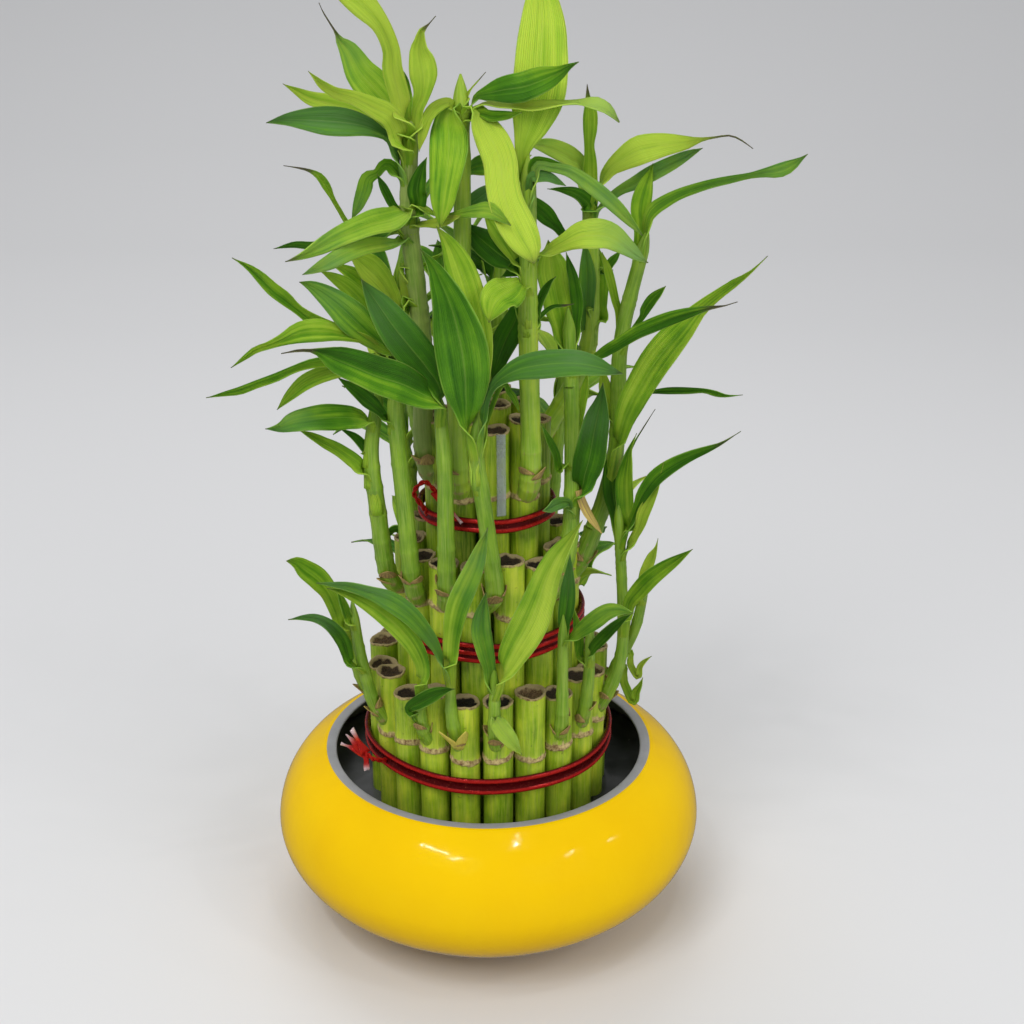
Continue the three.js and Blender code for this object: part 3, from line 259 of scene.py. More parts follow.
        Leaf(229, 0, ((515, 266, 16), (500, 255, 28), (485, 243, 28), (473, 232, 14), (462, 222, 0)), DEEP),
        Leaf(232, -6, ((516, 258, 12), (508, 245, 20), (498, 230, 20), (488, 217, 8), (482, 208, 0)), LIGHT),
        Leaf(228, -12, ((524, 262, 10), (517, 268, 16), (509, 273, 8), (501, 277, 0)), DEEP),
        Leaf(216, -6, ((522, 305, 14), (515, 322, 24), (506, 340, 26), (499, 358, 18), (492, 380, 0)), DEEP),
        Leaf(213, -14, ((536, 322, 6), (538, 308, 8), (544, 293, 9), (550, 283, 5), (556, 277, 0)), DEEP),
        Leaf(214, -14, ((545, 312, 5), (553, 307, 4), (562, 306, 3), (574, 304, 0)), DEEP, dry=1),
    ), LIGHT),
    ShootPlan("upper_04", ((20, 13, 171), (28, 14, 185), (34, 12, 205), (33, 12, 248)), (
        Leaf(246, 12, ((590, 178, 15), (590, 160, 13), (589, 145, 10), (590, 129, 14), (590, 113, 14),
             (588, 99, 6), (587, 84, 0)), LIGHT, dry=0.5),
        Leaf(247, -4, ((605, 174, 12), (621, 161, 21), (637, 152, 29), (652, 148, 27), (668, 145, 21),
             (686, 143, 13), (701, 140, 4), (714, 138, 1.5), (730, 136, 1.3), (742, 141, 1.2),
             (753, 149, 0)), FRESH, dry=1),
        Leaf(243, 4, ((618, 192, 9), (634, 184, 13), (650, 175, 16), (665, 167, 15), (680, 159, 12),
             (692, 153, 7), (703, 148, 0)), LIGHT, bloom_and_sheen=(0.8, 1)),
        Leaf(248, 18, ((582, 168, 14), (570, 158, 20), (555, 150, 18), (541, 146, 12), (526, 144, 0)), FRESH,
             bloom_and_sheen=(0.3, 0.4)),
        Leaf(242, 2, ((591, 213, 14), (587, 203, 17), (576, 194, 12), (562, 190, 6), (547, 189, 0)), DEEP),
        Leaf(236, 6, ((566, 236, 8), (556, 226, 11), (545, 215, 18), (532, 203, 14), (519, 190, 0)), DEEP),
        Leaf(214, 8, ((588, 330, 10), (586, 305, 16), (587, 280, 18), (586, 260, 12), (584, 240, 0)), GREEN,
             bloom_and_sheen=(0.3, 0.6)),
        Leaf(208, 14, ((600, 320, 9), (602, 295, 12), (601, 275, 16), (598, 258, 12), (594, 240, 0)), LIGHT),
        Leaf(226, 16, ((604, 272, 6), (611, 263, 9), (616, 257, 6), (621, 251, 0)), DEEP),
    ), LIGHT),
    ShootPlan("lower_05", ((41, -13, 86), (45, -12, 100), (45, -10, 118), (43, -10, 147)), (
        Leaf(138, -25, ((636, 509, 8), (643, 494, 13), (655, 478, 16), (671, 466, 15), (690, 456, 11),
             (708, 449, 7), (722, 443, 3), (741, 431, 0)), GREEN, far=0.2, dry=0.3),
        Leaf(134, -18, ((638, 530, 9), (643, 514, 13), (650, 500, 11), (657, 487, 5), (664, 462, 0)), FRESH),
        Leaf(143, -8, ((628, 528, 12), (625, 508, 17), (624, 485, 18), (627, 463, 12), (630, 449, 5),
             (637, 433, 0)), GREEN, far=-0.2),
        Leaf(140, 4, ((618, 520, 14), (613, 495, 20), (612, 470, 18), (614, 450, 10), (617, 430, 0)), DEEP),
        Leaf(145, 2, ((622, 500, 8), (621, 480, 9), (624, 462, 6), (634, 443, 2), (645, 425, 1.2),
             (655, 409, 0)), GREEN, dry=1),
        Leaf(107, -34, ((629, 604, 13), (638, 592, 17), (650, 579, 18), (663, 569, 15), (677, 560, 10),
             (693, 549, 0)), GREEN, far=-0.15),
    )),
    ShootPlan("lower_06", ((42, -1, 84), (46, -4, 95), (50, -7, 107), (52, -8, 119)), (
        Leaf(117, -11, ((643, 578, 9), (647, 567, 11), (652, 556, 9), (656, 547, 3), (658, 538, 0)), FRESH),
        Leaf(96, -10, ((637, 676, 7), (640, 667, 6), (645, 661, 4), (652, 656, 0)), FRESH),
        Leaf(90, -12, ((632, 700, 9), (636, 692, 9), (640, 685, 5), (643, 677, 0)), LIGHT),
    )),
    ShootPlan("lower_04", ((32, -25.5, 86), (33, -28, 100), (33, -29, 114)), (
        Leaf(105, -38, ((590, 652, 8), (600, 640, 12), (612, 628, 11), (623, 619, 6), (633, 613, 0)), DEEP),
        Leaf(104, -24, ((580, 655, 8), (579, 640, 10), (577, 625, 8), (574, 608, 0)), GREEN),
    )),
    ShootPlan("lower_03", ((24, -34, 86), (24, -35, 100), (24, -35, 118)), (
        Leaf(116, -46, ((566, 640, 9), (579, 632, 13), (592, 622, 18), (605, 613, 17), (618, 610, 12),
             (634, 613, 0)), LIGHT, bloom_and_sheen=(0.1, 0.4)),
        Leaf(115, -33, ((563, 630, 10), (566, 610, 16), (568, 590, 15), (569, 572, 9), (570, 554, 0)), DEEP,
             bloom_and_sheen=(0.1, 0.5)),
    )),
    ShootPlan("lower_21", ((-11, -39.5, 86), (-12, -40, 95), (-12, -40, 105)), (
        Leaf(104, -54, ((440, 655, 8), (429, 637, 14), (411, 616, 19), (390, 601, 20), (368, 592, 13),
             (345, 586, 9), (316, 583, 0)), GREEN, bloom_and_sheen=(0.4, 0.9)),
        Leaf(103, -46, ((450, 662, 15), (452, 635, 18), (457, 608, 23), (466, 586, 23), (475, 565, 19),
             (481, 547, 12), (488, 527, 0)), LIGHT, bloom_and_sheen=(0, 0.6), far=0.2),
    )),
    ShootPlan("lower_01", ((2, -41.5, 86), (2, -42, 95), (2, -42, 104)), (
        Leaf(102, -42, ((492, 690, 9), (490, 671, 12), (485, 651, 18), (481, 631, 20), (482, 613, 15),
             (486, 592, 0)), GREEN, bloom_and_sheen=(0.2, 0.4)),
        Leaf(100, -60, ((499, 690, 14), (504, 671, 21), (515, 650, 31), (529, 625, 37), (539, 600, 33),
             (547, 577, 27), (557, 557, 21), (569, 540, 12), (583, 520, 0)), LIGHT, far=-0.2),
        Leaf(94, -53, ((494, 717, 13), (501, 728, 18), (510, 740, 16), (517, 749, 8), (522, 755, 0)), FRESH,
             bloom_and_sheen=(0.4, 0.5)),
    )),
    ShootPlan("lower_18", ((-38, -21, 86), (-40, -23, 96), (-42, -25, 109), (-43, -26, 120)), (
        Leaf(100, -40, ((351, 662, 10), (343, 641, 14), (331, 627, 13), (316, 619, 9), (302, 618, 5),
             (288, 620, 0)), DEEP, bloom_and_sheen=(0, 0.9)),
        Leaf(117, -30, ((350, 620, 9), (345, 607, 9), (341, 597, 6), (338, 584, 0)), GREEN),
    )),
    ShootPlan("lower_17", ((-42, -8, 86), (-45, -11, 98), (-47, -14, 110)), (
        Leaf(107, -32, ((345, 632, 14), (338, 611, 17), (329, 592, 18), (318, 579, 22), (306, 570, 20),
             (296, 563, 13), (286, 561, 0)), LIGHT),
    )),
    ShootPlan("lower_20", ((-21, -36, 84), (-22, -38, 92), (-21, -39, 98)), (
        Leaf(96, -52, ((420, 690, 13), (423, 668, 14), (415, 647, 18), (400, 628, 21), (381, 612, 19),
             (361, 600, 13), (345, 593, 8), (327, 588, 0)), LIGHT, far=0.15),
        Leaf(89, -46, ((409, 709, 9), (420, 702, 15), (433, 695, 15), (444, 691, 9), (455, 689, 0)), DEEP),
    )),
)


# ---- Small helpers ----


def at_angle(radius: float, degrees: float, z: float = 0.0) -> Vector:
    """A point at a radius, at an angle that runs from the front towards +X, and at a height."""
    a = math.radians(degrees)
    return Vector((radius * math.sin(a), -radius * math.cos(a), z))


@dataclass(frozen=True)
class Sight:
    """The view from the front that the leaves are measured in, with a picture 1024 units wide and high."""

    eye: Triple = (0.0, -492.0, 348.0)
    pitch: float = 22.3
    yaw: float = 0.967
    reach: float = 1600.0
    middle: float = 512.0

    def turned(self) -> Matrix:
        """The way the view looks, with -Z forwards and +Y up."""
        level = Matrix.Rotation(-math.radians(self.yaw), 3, "Z")
        return level @ Matrix.Rotation(math.radians(90 - self.pitch), 3, "X")

    def point(self, across: float, down: float, depth: float) -> Vector:
        """Where something seen in the view lies.

        Args:
            across: how far from the left it is seen.
            down: how far from the top it is seen.
            depth: its place along Y.

        Returns:
            The point.
        """
        eye = Vector(self.eye)
        ray = self.turned() @ Vector((across - self.middle, self.middle - down, -self.reach))
        return eye + ray * ((depth - eye.y) / ray.y)

    def seen(self, point: Vector) -> Vector:
        """Where a point is seen: across, down and how far off it is.

        Args:
            point: the point.

        Returns:
            How far across and down it is seen, and how far off it is.
        """
        local = self.turned().transposed() @ (point - Vector(self.eye))
        scale = self.reach / -local.z
        return Vector((self.middle + local.x * scale, self.middle - local.y * scale, -local.z))


SIGHT = Sight()


def smooth(value: float, low: float = 0.0, high: float = 1.0) -> float:
    """A soft step that leaves 0 at `low` and reaches 1 at `high`."""
    share = min(max((value - low) / (high - low), 0.0), 1.0)
    return share * share * (3 - 2 * share)


def curve_value(points: tuple[tuple[float, float], ...], at: float) -> float:
    """Reads a smooth curve through (place, value) points.

    Args:
        points: the places and values, in rising order of place.
        at: the place to read.

    Returns:
        The value there.
    """
    last = len(points) - 1
    k = max(n for n in range(last) if points[n][0] <= at or n == 0)
    (x1, y1), (x2, y2) = points[k], points[k + 1]
    x0, y0 = points[max(k - 1, 0)]
    x3, y3 = points[min(k + 2, last)]
    t = min(max((at - x1) / (x2 - x1), 0.0), 1.0)
    slope1 = (y2 - y0) / (x2 - x0) * (x2 - x1)
    slope2 = (y3 - y1) / (x3 - x1) * (x2 - x1)
    ends = (2 * t**3 - 3 * t**2 + 1) * y1 + (3 * t**2 - 2 * t**3) * y2
    return ends + (t**3 - 2 * t**2 + t) * slope1 + (t**3 - t**2) * slope2


def catmull_rom(points: list[Vector], steps: int) -> list[Vector]:
    """A smooth run of points through the given ones.

    Args:
        points: the points to pass through.
        steps: how many stretches each span is cut into.

    Returns:
        The points of the smooth run.
    """
    run = []
    last = len(points) - 1
    for k in range(last):
        a, b, c, d = (points[min(max(k + n, 0), last)] for n in (-1, 0, 1, 2))
        for n in range(steps):
            t = n / steps
            linear = (c - a) * t
            square = (2 * a - 5 * b + 4 * c - d) * t**2
            cubic = (3 * b - a - 3 * c + d) * t**3
            run.append((2 * b + linear + square + cubic) / 2)
    return [*run, points[-1].copy()]


def at_height(points: list[Vector], z: float) -> tuple[Vector, Vector, float]:
    """The point of a climbing run at a height.

    Args:
        points: the run.
        z: the height.

    Returns:
        The point, the way the run goes there and how far along it is, from 0 to 1.
    """
    for n, (low, high) in enumerate(zip(points, points[1:])):
        if low.z <= z <= high.z:
            share = (z - low.z) / max(high.z - low.z, 0.001)
            return low.lerp(high, share), (high - low).normalized(), (n + share) / (len(points) - 1)
    return points[-1].copy(), (points[-1] - points[-2]).normalized(), 1.0


def seeded_draws(seed: int) -> Iterator[float]:
    """The endless seeded draws, from 0 to 1, that place the shoots at the back.

    Args:
        seed: the first state.

    Yields:
        The next draw.
    """
    state = seed
    while True:
        state = (state * 1664525 + 1013904223) % 4294967296
        yield state / 4294967296


# ---- Materials ----


class Nodes:
    """A short hand for building the nodes of a material or a group."""

    def __init__(self, tree: NodeTree) -> None:
        """Keeps the tree that the nodes go in."""
        self.tree = tree

    def add(self, kind: str, settings: dict | None = None, **inputs: object) -> Node:
        """Adds one node.

        Args:
            kind: the node's type without its ShaderNode prefix.
            settings: properties to set on it.
            **inputs: values or sockets for its inputs, with _ for a space in the name.

        Returns:
            The node.
        """
        node = self.tree.nodes.new("ShaderNode" + kind)
        for name, value in (settings or {}).items():
            setattr(node, name, value)
        self.set(node, **inputs)
        return node

    def set(self, node: Node, **inputs: object) -> None:
        """Feeds a node's inputs by their names, with _ for a space."""
        for name, value in inputs.items():
            self.feed(node.inputs[name.replace("_", " ")], value)

    def feed(self, socket: NodeSocket, value: object) -> None:
        """Links a socket to an input, or sets a plain value on it.

        Args:
            socket: the input.
            value: the socket or the plain value.
        """
        if isinstance(value, NodeSocket):
            self.tree.links.new(value, socket)
        else:
            socket.default_value = value

    def math(self, operation: str, first: object, second: object = 0.0) -> NodeSocket:
        """Adds a math node.

        Args:
            operation: what it does.
            first: its first value.
            second: its second value.

        Returns:
            Its result.
        """
        node = self.add("Math", {"operation": operation})
        self.feed(node.inputs[0], first)
        self.feed(node.inputs[1], second)
        return node.outputs[0]

    def mix(self, share: object, first: object, second: object, blend: str = "MIX") -> NodeSocket:
        """Mixes two colours.

        Args:
            share: how much of the second.
            first: the first colour.
            second: the second colour.
            blend: the way they are blended.

        Returns:
            The mixed colour.
        """
        node = self.add("Mix", {"data_type": "RGBA", "blend_type": blend})
        self.feed(node.inputs["Factor"], share)
        self.feed(node.inputs[6], self.opaque(first))
        self.feed(node.inputs[7], self.opaque(second))
        return node.outputs[2]

    def opaque(self, colour: object) -> object:
        """Gives a plain colour of three numbers its fourth."""
        return (*colour, 1.0) if isinstance(colour, tuple) and len(colour) == 3 else colour

    def ramp(self, share: object, stops: tuple[tuple[float, Triple], ...]) -> NodeSocket:
        """Reads a colour ramp.

        Args:
            share: where to read it.
            stops: places and colours, in rising order.

        Returns:
            The colour.
        """
        node = self.add("ValToRGB")
        elements = node.color_ramp.elements
        while len(elements) < len(stops):
            elements.new(0.5)
        for element, (place, colour) in zip(elements, stops):
            element.position = place
            element.color = (*colour, 1.0)
        self.feed(node.inputs[0], share)
        return node.outputs[0]

    def range(self, value: object, low: float, high: float, start: float, end: float) -> NodeSocket:
        """Maps a value from one range to another, clamped.

        Args:
            value: the value.
            low: the low end of its range.
            high: the high end of its range.
            start: what the low end becomes.
            end: what the high end becomes.

        Returns:
            The mapped value.
        """
        node = self.add("MapRange")
        self.feed(node.inputs[0], value)
        for socket, number in zip(node.inputs[1:5], (low, high, start, end)):
            socket.default_value = number
        return node.outputs[0]


def shader_group(name: str, inputs: dict[str, float], outputs: tuple[str, ...],
                 fill: Callable[[Nodes, dict], dict]) -> NodeTree:
    """Makes a shader node group of values.

    Args:
        name: the group's name.
        inputs: its input names and their defaults.
        outputs: its output names.
        fill: builds its nodes from the input sockets and returns a socket for each output.

    Returns:
        The group.
    """
    tree = bpy.data.node_groups.new(name, "ShaderNodeTree")
    for label, value in inputs.items():
        socket = tree.interface.new_socket(name=label, in_out="INPUT", socket_type="NodeSocketFloat")
        socket.default_value = value
    for label in outputs:
        tree.interface.new_socket(name=label, in_out="OUTPUT", socket_type="NodeSocketFloat")
    entry = tree.nodes.new("NodeGroupInput")
    leave = tree.nodes.new("NodeGroupOutput")
    made = fill(Nodes(tree), {label: entry.outputs[label] for label in inputs})
    for label, socket in made.items():
        tree.links.new(socket, leave.inputs[label])
    return tree


def fill_streaks(nodes: Nodes, inputs: dict) -> dict:
    """Streaks that run along a stem or a blade, on its own map.

    Args:
        nodes: the group's nodes.
        inputs: Across and Along, the counts of streaks each way, and Chance, which shifts them.

    Returns:
        Broad and Fine, two strengths of streak.
    """
    place = nodes.add("UVMap", {"uv_map": GRAIN_MAP})
    parts = nodes.add("SeparateXYZ", Vector=place.outputs[0])
    across = nodes.math("MULTIPLY", parts.outputs[0], inputs["Across"])
    along = nodes.math("MULTIPLY", parts.outputs[1], inputs["Along"])
    chance = nodes.math("MULTIPLY", inputs["Chance"], 57.0)
    spot = nodes.add("CombineXYZ", X=across, Y=along, Z=chance)
    broad = nodes.add("TexNoise", Vector=spot.outputs[0], Scale=1.0, Detail=2.0, Roughness=0.5)
    closer, longer = nodes.math("MULTIPLY", across, 3.4), nodes.math("MULTIPLY", along, 1.6)
    close = nodes.add("CombineXYZ", X=closer, Y=longer, Z=chance)
    fine = nodes.add("TexNoise", Vector=close.outputs[0], Scale=1.0, Detail=3.0, Roughness=0.6)
    return {"Broad": broad.outputs[0], "Fine": fine.outputs[0]}


def fill_mottle(nodes: Nodes, inputs: dict) -> dict:
    """Blotches and specks fixed to the object.

    Args:
        nodes: the group's nodes.
        inputs: Size, how many blotches lie along a metre.

    Returns:
        Blotch and Speck, two masks.
    """
    place = nodes.add("TexCoord")
    blotch = nodes.add("TexNoise", Vector=place.outputs["Object"], Scale=inputs["Size"], Detail=4.0)
    many = nodes.math("MULTIPLY", inputs["Size"], 6.0)
    speck = nodes.add("TexNoise", Vector=place.outputs["Object"], Scale=many, Detail=3.0, Roughness=0.7)
    return {"Blotch": blotch.outputs[0], "Speck": speck.outputs[0]}


@dataclass(frozen=True)
class SharedEffects:
    """The shader groups that more than one finish uses."""

    streaks: NodeTree
    mottle: NodeTree

    @classmethod
    def make(cls) -> "SharedEffects":
        """Builds each group once.

        Returns:
            The groups.
        """
        along = {"Across": 8.0, "Along": 1.0, "Chance": 0.0}
        streaks = shader_group("streaks_along", along, ("Broad", "Fine"), fill_streaks)
        mottle = shader_group("mottle", {"Size": 60.0}, ("Blotch", "Speck"), fill_mottle)
        return cls(streaks, mottle)


class Finish:
    """What every finish has: the shared effects, and the nodes and the shader of its own material."""

    title = ""

    def __init__(self, shared: SharedEffects) -> None:
        """Starts the material and lays its nodes.

        Args:
            shared: the shader groups that more than one finish uses.
        """
        self.shared = shared
        self.material = bpy.data.materials.new(self.title)
        self.material.use_nodes = True
        self.nodes = Nodes(self.material.node_tree)
        self.shader = self.material.node_tree.nodes["Principled BSDF"]
        self.lay()

    def lay(self) -> None:
        """Lays the finish's own nodes."""
        raise NotImplementedError

    def streaks(self, across: float, along: float, chance: NodeSocket) -> list[NodeSocket]:
        """Places the shared streaks, so many each way, and gives their broad and fine strengths."""
        tree = {"node_tree": self.shared.streaks}
        return list(self.nodes.add("Group", tree, Across=across, Along=along, Chance=chance).outputs)

    def mottle(self, size: float) -> list[NodeSocket]:
        """Places the shared mottle, `size` blotches to a metre, and gives its blotches and its specks."""
        return list(self.nodes.add("Group", {"node_tree": self.shared.mottle}, Size=size).outputs)

    def height(self) -> NodeSocket:
        """The height over the bowl's foot, in metres."""
        place = self.nodes.add("TexCoord").outputs["Object"]
        return self.nodes.add("SeparateXYZ", Vector=place).outputs[2]

    def look(self) -> tuple[NodeSocket, ...]:
        """Reads the tone, chance, dryness and the grey of waxy coat and painted sheen that the mesh carries.
        """
        source = self.nodes.add("Attribute", {"attribute_name": LOOK}).outputs
        return (*self.nodes.add("SeparateColor", Color=source["Color"]).outputs, source["Alpha"])

    def set(self, **inputs: object) -> None:
        """Feeds the shader's inputs by their names, with _ for a space."""
        self.nodes.set(self.shader, **inputs)

    def bump(self, height: object, depth: float) -> None:
        """Feeds a relief, `depth` metres deep, to the shader's normal."""
        self.set(Normal=self.nodes.add("Bump", Height=height, Distance=depth).outputs[0])

    def glow(self, share: float, reach: float) -> None:
        """Lets a share of the light wander `reach` metres under the skin."""
        self.set(Subsurface_Weight=share, Subsurface_Radius=GREEN_GLOW, Subsurface_Scale=reach)


GREEN_GLOW = (0.6, 1.0, 0.12)  # how far red, green and blue wander under a green skin
LEAF_RAMP = (
    (0.0, (0.5, 0.68, 0.06)),
    (0.3, (0.29, 0.5, 0.024)),
    (0.55, (0.105, 0.29, 0.009)),
    (0.8, (0.045, 0.165, 0.005)),
    (1.0, (0.033, 0.115, 0.005)),
)
STEM_RAMP = (
    (0.0, (0.43, 0.58, 0.036)),
    (0.35, (0.25, 0.43, 0.02)),
    (0.7, (0.13, 0.28, 0.011)),
    (1.0, (0.24, 0.33, 0.07)),
)
CANE_RAMP = (
    (0.0, (0.58, 0.68, 0.04)),
    (0.35, (0.38, 0.54, 0.02)),
    (0.7, (0.22, 0.38, 0.01)),
    (1.0, (0.1, 0.2, 0.008)),
)
PITH_RAMP = (
    (0.0, (0.012, 0.01, 0.009)),
    (0.45, (0.06, 0.038, 0.022)),
    (0.75, (0.19, 0.115, 0.05)),
    (1.0, (0.36, 0.26, 0.12)),
)
SCALE_RAMP = (
    (0.0, (0.16, 0.09, 0.035)),
    (0.4, (0.45, 0.31, 0.11)),
    (0.75, (0.62, 0.5, 0.08)),
    (1.0, (0.66, 0.62, 0.1)),
)
PAPER_TAN = (0.58, 0.46, 0.2)
PAPER_BROWN = (0.2, 0.12, 0.05)


class LeafSkin(Finish):
    """Satin leaf: parallel veins, darker streaks, a pale foot, a grey waxy coat that also paints sheen, and
    a dry tip.
    """

    title = "leaf_skin"
    veins: float = 150.0
    vein: Triple = (0.02, 0.09, 0.005)
    streak: Triple = (0.4, 0.62, 0.35)
    rib: Triple = (0.42, 0.58, 0.12)
    # greys of the waxy coat, which also stand for painted sheen on the leaf
    bloom_sheen_deep: Triple = (0.12, 0.3, 0.07)
    bloom_sheen_pale: Triple = (0.24, 0.44, 0.16)
    dry_tip: Triple = (0.13, 0.11, 0.06)

    def lay(self) -> None:
        """Lays the nodes of the leaf."""
        nodes = self.nodes
        tone, chance, dry, bloom_and_sheen = self.look()
        broad, fine = self.streaks(7.0, 1.5, chance)
        blotch, _ = self.mottle(90.0)
        place = nodes.add("SeparateXYZ", Vector=nodes.add("UVMap", {"uv_map": GRAIN_MAP}).outputs[0])
        across, along = place.outputs[0], place.outputs[1]
        middle = nodes.math("ABSOLUTE", nodes.math("SUBTRACT", across, 0.5))
        shift = nodes.math("ADD", nodes.range(broad, 0.32, 0.68, -0.15, 0.15),
                           nodes.range(blotch, 0.35, 0.65, -0.1, 0.1))
        foot = nodes.range(along, 0.08, 0.4, -0.22, 0.0)
        green = nodes.ramp(nodes.math("ADD", nodes.math("ADD", tone, shift), foot), LEAF_RAMP)
        vein = nodes.math("SINE", nodes.math("MULTIPLY", across, self.veins))
        veined = nodes.mix(nodes.range(vein, -1, 1, 0.0, 0.14), green, self.vein)
        darker = nodes.mix(nodes.range(fine, 0.5, 0.72, 0.0, 0.55), veined, self.streak, "MULTIPLY")
        rib = nodes.range(middle, 0.0, 0.03, 0.2, 0.0)
        margin = nodes.range(middle, 0.47, 0.495, 0.0, 0.3)
        pale = nodes.mix(nodes.math("ADD", rib, margin), darker, self.rib)
        # grey of the waxy coat and of painted sheen, in patches
        patchy = nodes.math("MULTIPLY", bloom_and_sheen, nodes.range(blotch, 0.35, 0.65, 0.45, 0.95))
        bloom_sheen_colour = nodes.mix(nodes.range(fine, 0.35, 0.65, 0, 1), self.bloom_sheen_deep, self.bloom_sheen_pale)
        with_bloom_sheen = nodes.mix(nodes.math("MULTIPLY", patchy, 0.8), pale, bloom_sheen_colour)
        self.set(Base_Color=nodes.mix(dry, with_bloom_sheen, self.dry_tip), Specular_IOR_Level=0.3,
                 Roughness=nodes.range(fine, 0.3, 0.7, 0.34, 0.48))
        self.glow(0.22, 0.0018)
        self.bump(nodes.math("ADD", nodes.math("MULTIPLY", vein, 0.4), fine), 0.00016)


class ShootSkin(Finish):
    """Fresh stem: green with fine lines along it and a papery line at each joint."""

    title = "shoot_skin"
    line: Triple = (0.4, 0.52, 0.12)

    def lay(self) -> None:
        """Lays the nodes of the shoot."""
        nodes = self.nodes
        tone, chance, papery, _ = self.look()
        broad, fine = self.streaks(14.0, 0.06, chance)
        blotch, speck = self.mottle(120.0)
        shift = nodes.math("ADD", nodes.range(broad, 0.3, 0.7, -0.16, 0.16),
                           nodes.range(blotch, 0.35, 0.65, -0.12, 0.12))
        green = nodes.ramp(nodes.math("ADD", tone, shift), STEM_RAMP)
        lined = nodes.mix(nodes.range(fine, 0.42, 0.65, 0.0, 0.4), green, self.line)
        tan = nodes.mix(speck, PAPER_TAN, PAPER_BROWN)
        broken = nodes.math("ADD", papery, nodes.range(broad, 0.3, 0.7, -0.25, 0.25))
        mask = nodes.range(broken, 0.3, 0.7, 0.0, 1.0)
        self.set(Base_Color=nodes.mix(mask, lined, tan),
                 Roughness=nodes.range(mask, 0, 1, 0.4, 0.8))
        self.glow(0.12, 0.001)
        self.bump(fine, 0.00025)


class CaneSkin(Finish):
    """Cane: waxy green, lined along its length, darker with painted shade below the bowl's lip, tan and
    papery at the scars.
    """

    title = "cane_skin"
    # painted shade low on the cane: full at the water, gone by the bowl's lip
    shade_from: float = 0.046
    shade_to: float = 0.06
    line: Triple = (0.5, 0.58, 0.09)
    pock: Triple = (0.1, 0.12, 0.03)
    # the colour of the painted shade low on the cane
    low_shade: Triple = (0.025, 0.07, 0.01)

    def lay(self) -> None:
        """Lays the nodes of the cane."""
        nodes = self.nodes
        tone, chance, papery, _ = self.look()
        broad, fine = self.streaks(22.0, 0.06, chance)
        blotch, speck = self.mottle(110.0)
        shift = nodes.math("ADD", nodes.range(blotch, 0.35, 0.65, -0.25, 0.25),
                           nodes.range(broad, 0.3, 0.7, -0.25, 0.25))
        green = nodes.ramp(nodes.math("ADD", tone, shift), CANE_RAMP)
        lined = nodes.mix(nodes.range(fine, 0.42, 0.62, 0.0, 0.4), green, self.line)
        pocked = nodes.mix(nodes.range(speck, 0.64, 0.72, 0.0, 0.6), lined, self.pock)
        # painted shade that darkens the cane below the bowl's lip
        shade_share = nodes.range(self.height(), self.shade_from, self.shade_to, 0.35, 0.0)
        low_shaded = nodes.mix(shade_share, pocked, self.low_shade)
        broken = nodes.range(broad, 0.25, 0.75, -0.3, 0.3)
        bark = nodes.range(nodes.math("ADD", papery, broken), 0.35, 0.7, 0.0, 1.0)
        paper = nodes.mix(nodes.range(speck, 0.4, 0.65, 0, 1), PAPER_TAN, PAPER_BROWN)
        self.set(Base_Color=nodes.mix(bark, low_shaded, paper), Specular_IOR_Level=0.35,
                 Roughness=nodes.range(bark, 0, 1, 0.36, 0.85))
        self.bump(nodes.math("ADD", fine, nodes.math("MULTIPLY", speck, bark)), 0.00035)


class CutEnd(Finish):
    """The dried end of a cane: brown to black pith inside a tan rim."""

    title = "cut_end"
    rim_pale: Triple = (0.64, 0.54, 0.28)
    rim_deep: Triple = (0.4, 0.28, 0.12)

    def lay(self) -> None:
        """Lays the nodes of the cut end."""
        nodes = self.nodes
        _, chance, papery, _ = self.look()
        blotch, speck = self.mottle(420.0)
        pith = nodes.ramp(nodes.math("ADD", chance, nodes.range(speck, 0.3, 0.7, -0.35, 0.35)), PITH_RAMP)
        broken = nodes.math("ADD", papery, nodes.range(blotch, 0.3, 0.7, -0.3, 0.3))
        tan = nodes.mix(speck, self.rim_pale, self.rim_deep)
        colour = nodes.mix(nodes.range(broken, 0.4, 0.7, 0.0, 1.0), pith, tan)
        self.set(Base_Color=colour, Roughness=0.7)
        self.bump(speck, 0.001)


class PaperScale(Finish):
    """Dry papery scale at the foot of a shoot, yellow to brown."""

    title = "paper_scale"

    def lay(self) -> None:
        """Lays the nodes of the scale."""
        nodes = self.nodes
        tone, chance, _, _ = self.look()
        _, fine = self.streaks(7.0, 1.0, chance)
        shift = nodes.range(fine, 0.3, 0.7, -0.3, 0.3)
        self.set(Base_Color=nodes.ramp(nodes.math("ADD", tone, shift), SCALE_RAMP), Roughness=0.7)
        self.bump(fine, 0.0003)


class YellowGlaze(Finish):
    """Glossy yellow glaze over ceramic, a little thicker in places, with painted shade darkening it below
    the belly.
    """

    title = "yellow_glaze"
    # heights of the painted shade: full near the foot, gone at the belly
    belly_shade_from: float = 0.002
    belly_shade_to: float = 0.034
    thin: Triple = (0.9, 0.57, 0.001)
    thick: Triple = (0.85, 0.5, 0.001)
    # the colour of the painted shade below the belly
    deep: Triple = (0.5, 0.26, 0.001)

    def lay(self) -> None:
        """Lays the nodes of the glaze."""
        nodes = self.nodes
        blotch, speck = self.mottle(38.0)
        yellow = nodes.mix(nodes.range(blotch, 0.35, 0.7, 0.0, 0.5), self.thin, self.thick)
        # painted shade, darkening the glaze from the belly down to the foot
        belly = nodes.range(self.height(), self.belly_shade_from, self.belly_shade_to, 0.75, 0.0)
        self.set(Base_Color=nodes.mix(belly, yellow, self.deep), Specular_IOR_Level=0.22,
                 Roughness=nodes.range(speck, 0.3, 0.7, 0.06, 0.12))
        self.bump(blotch, 0.0006)


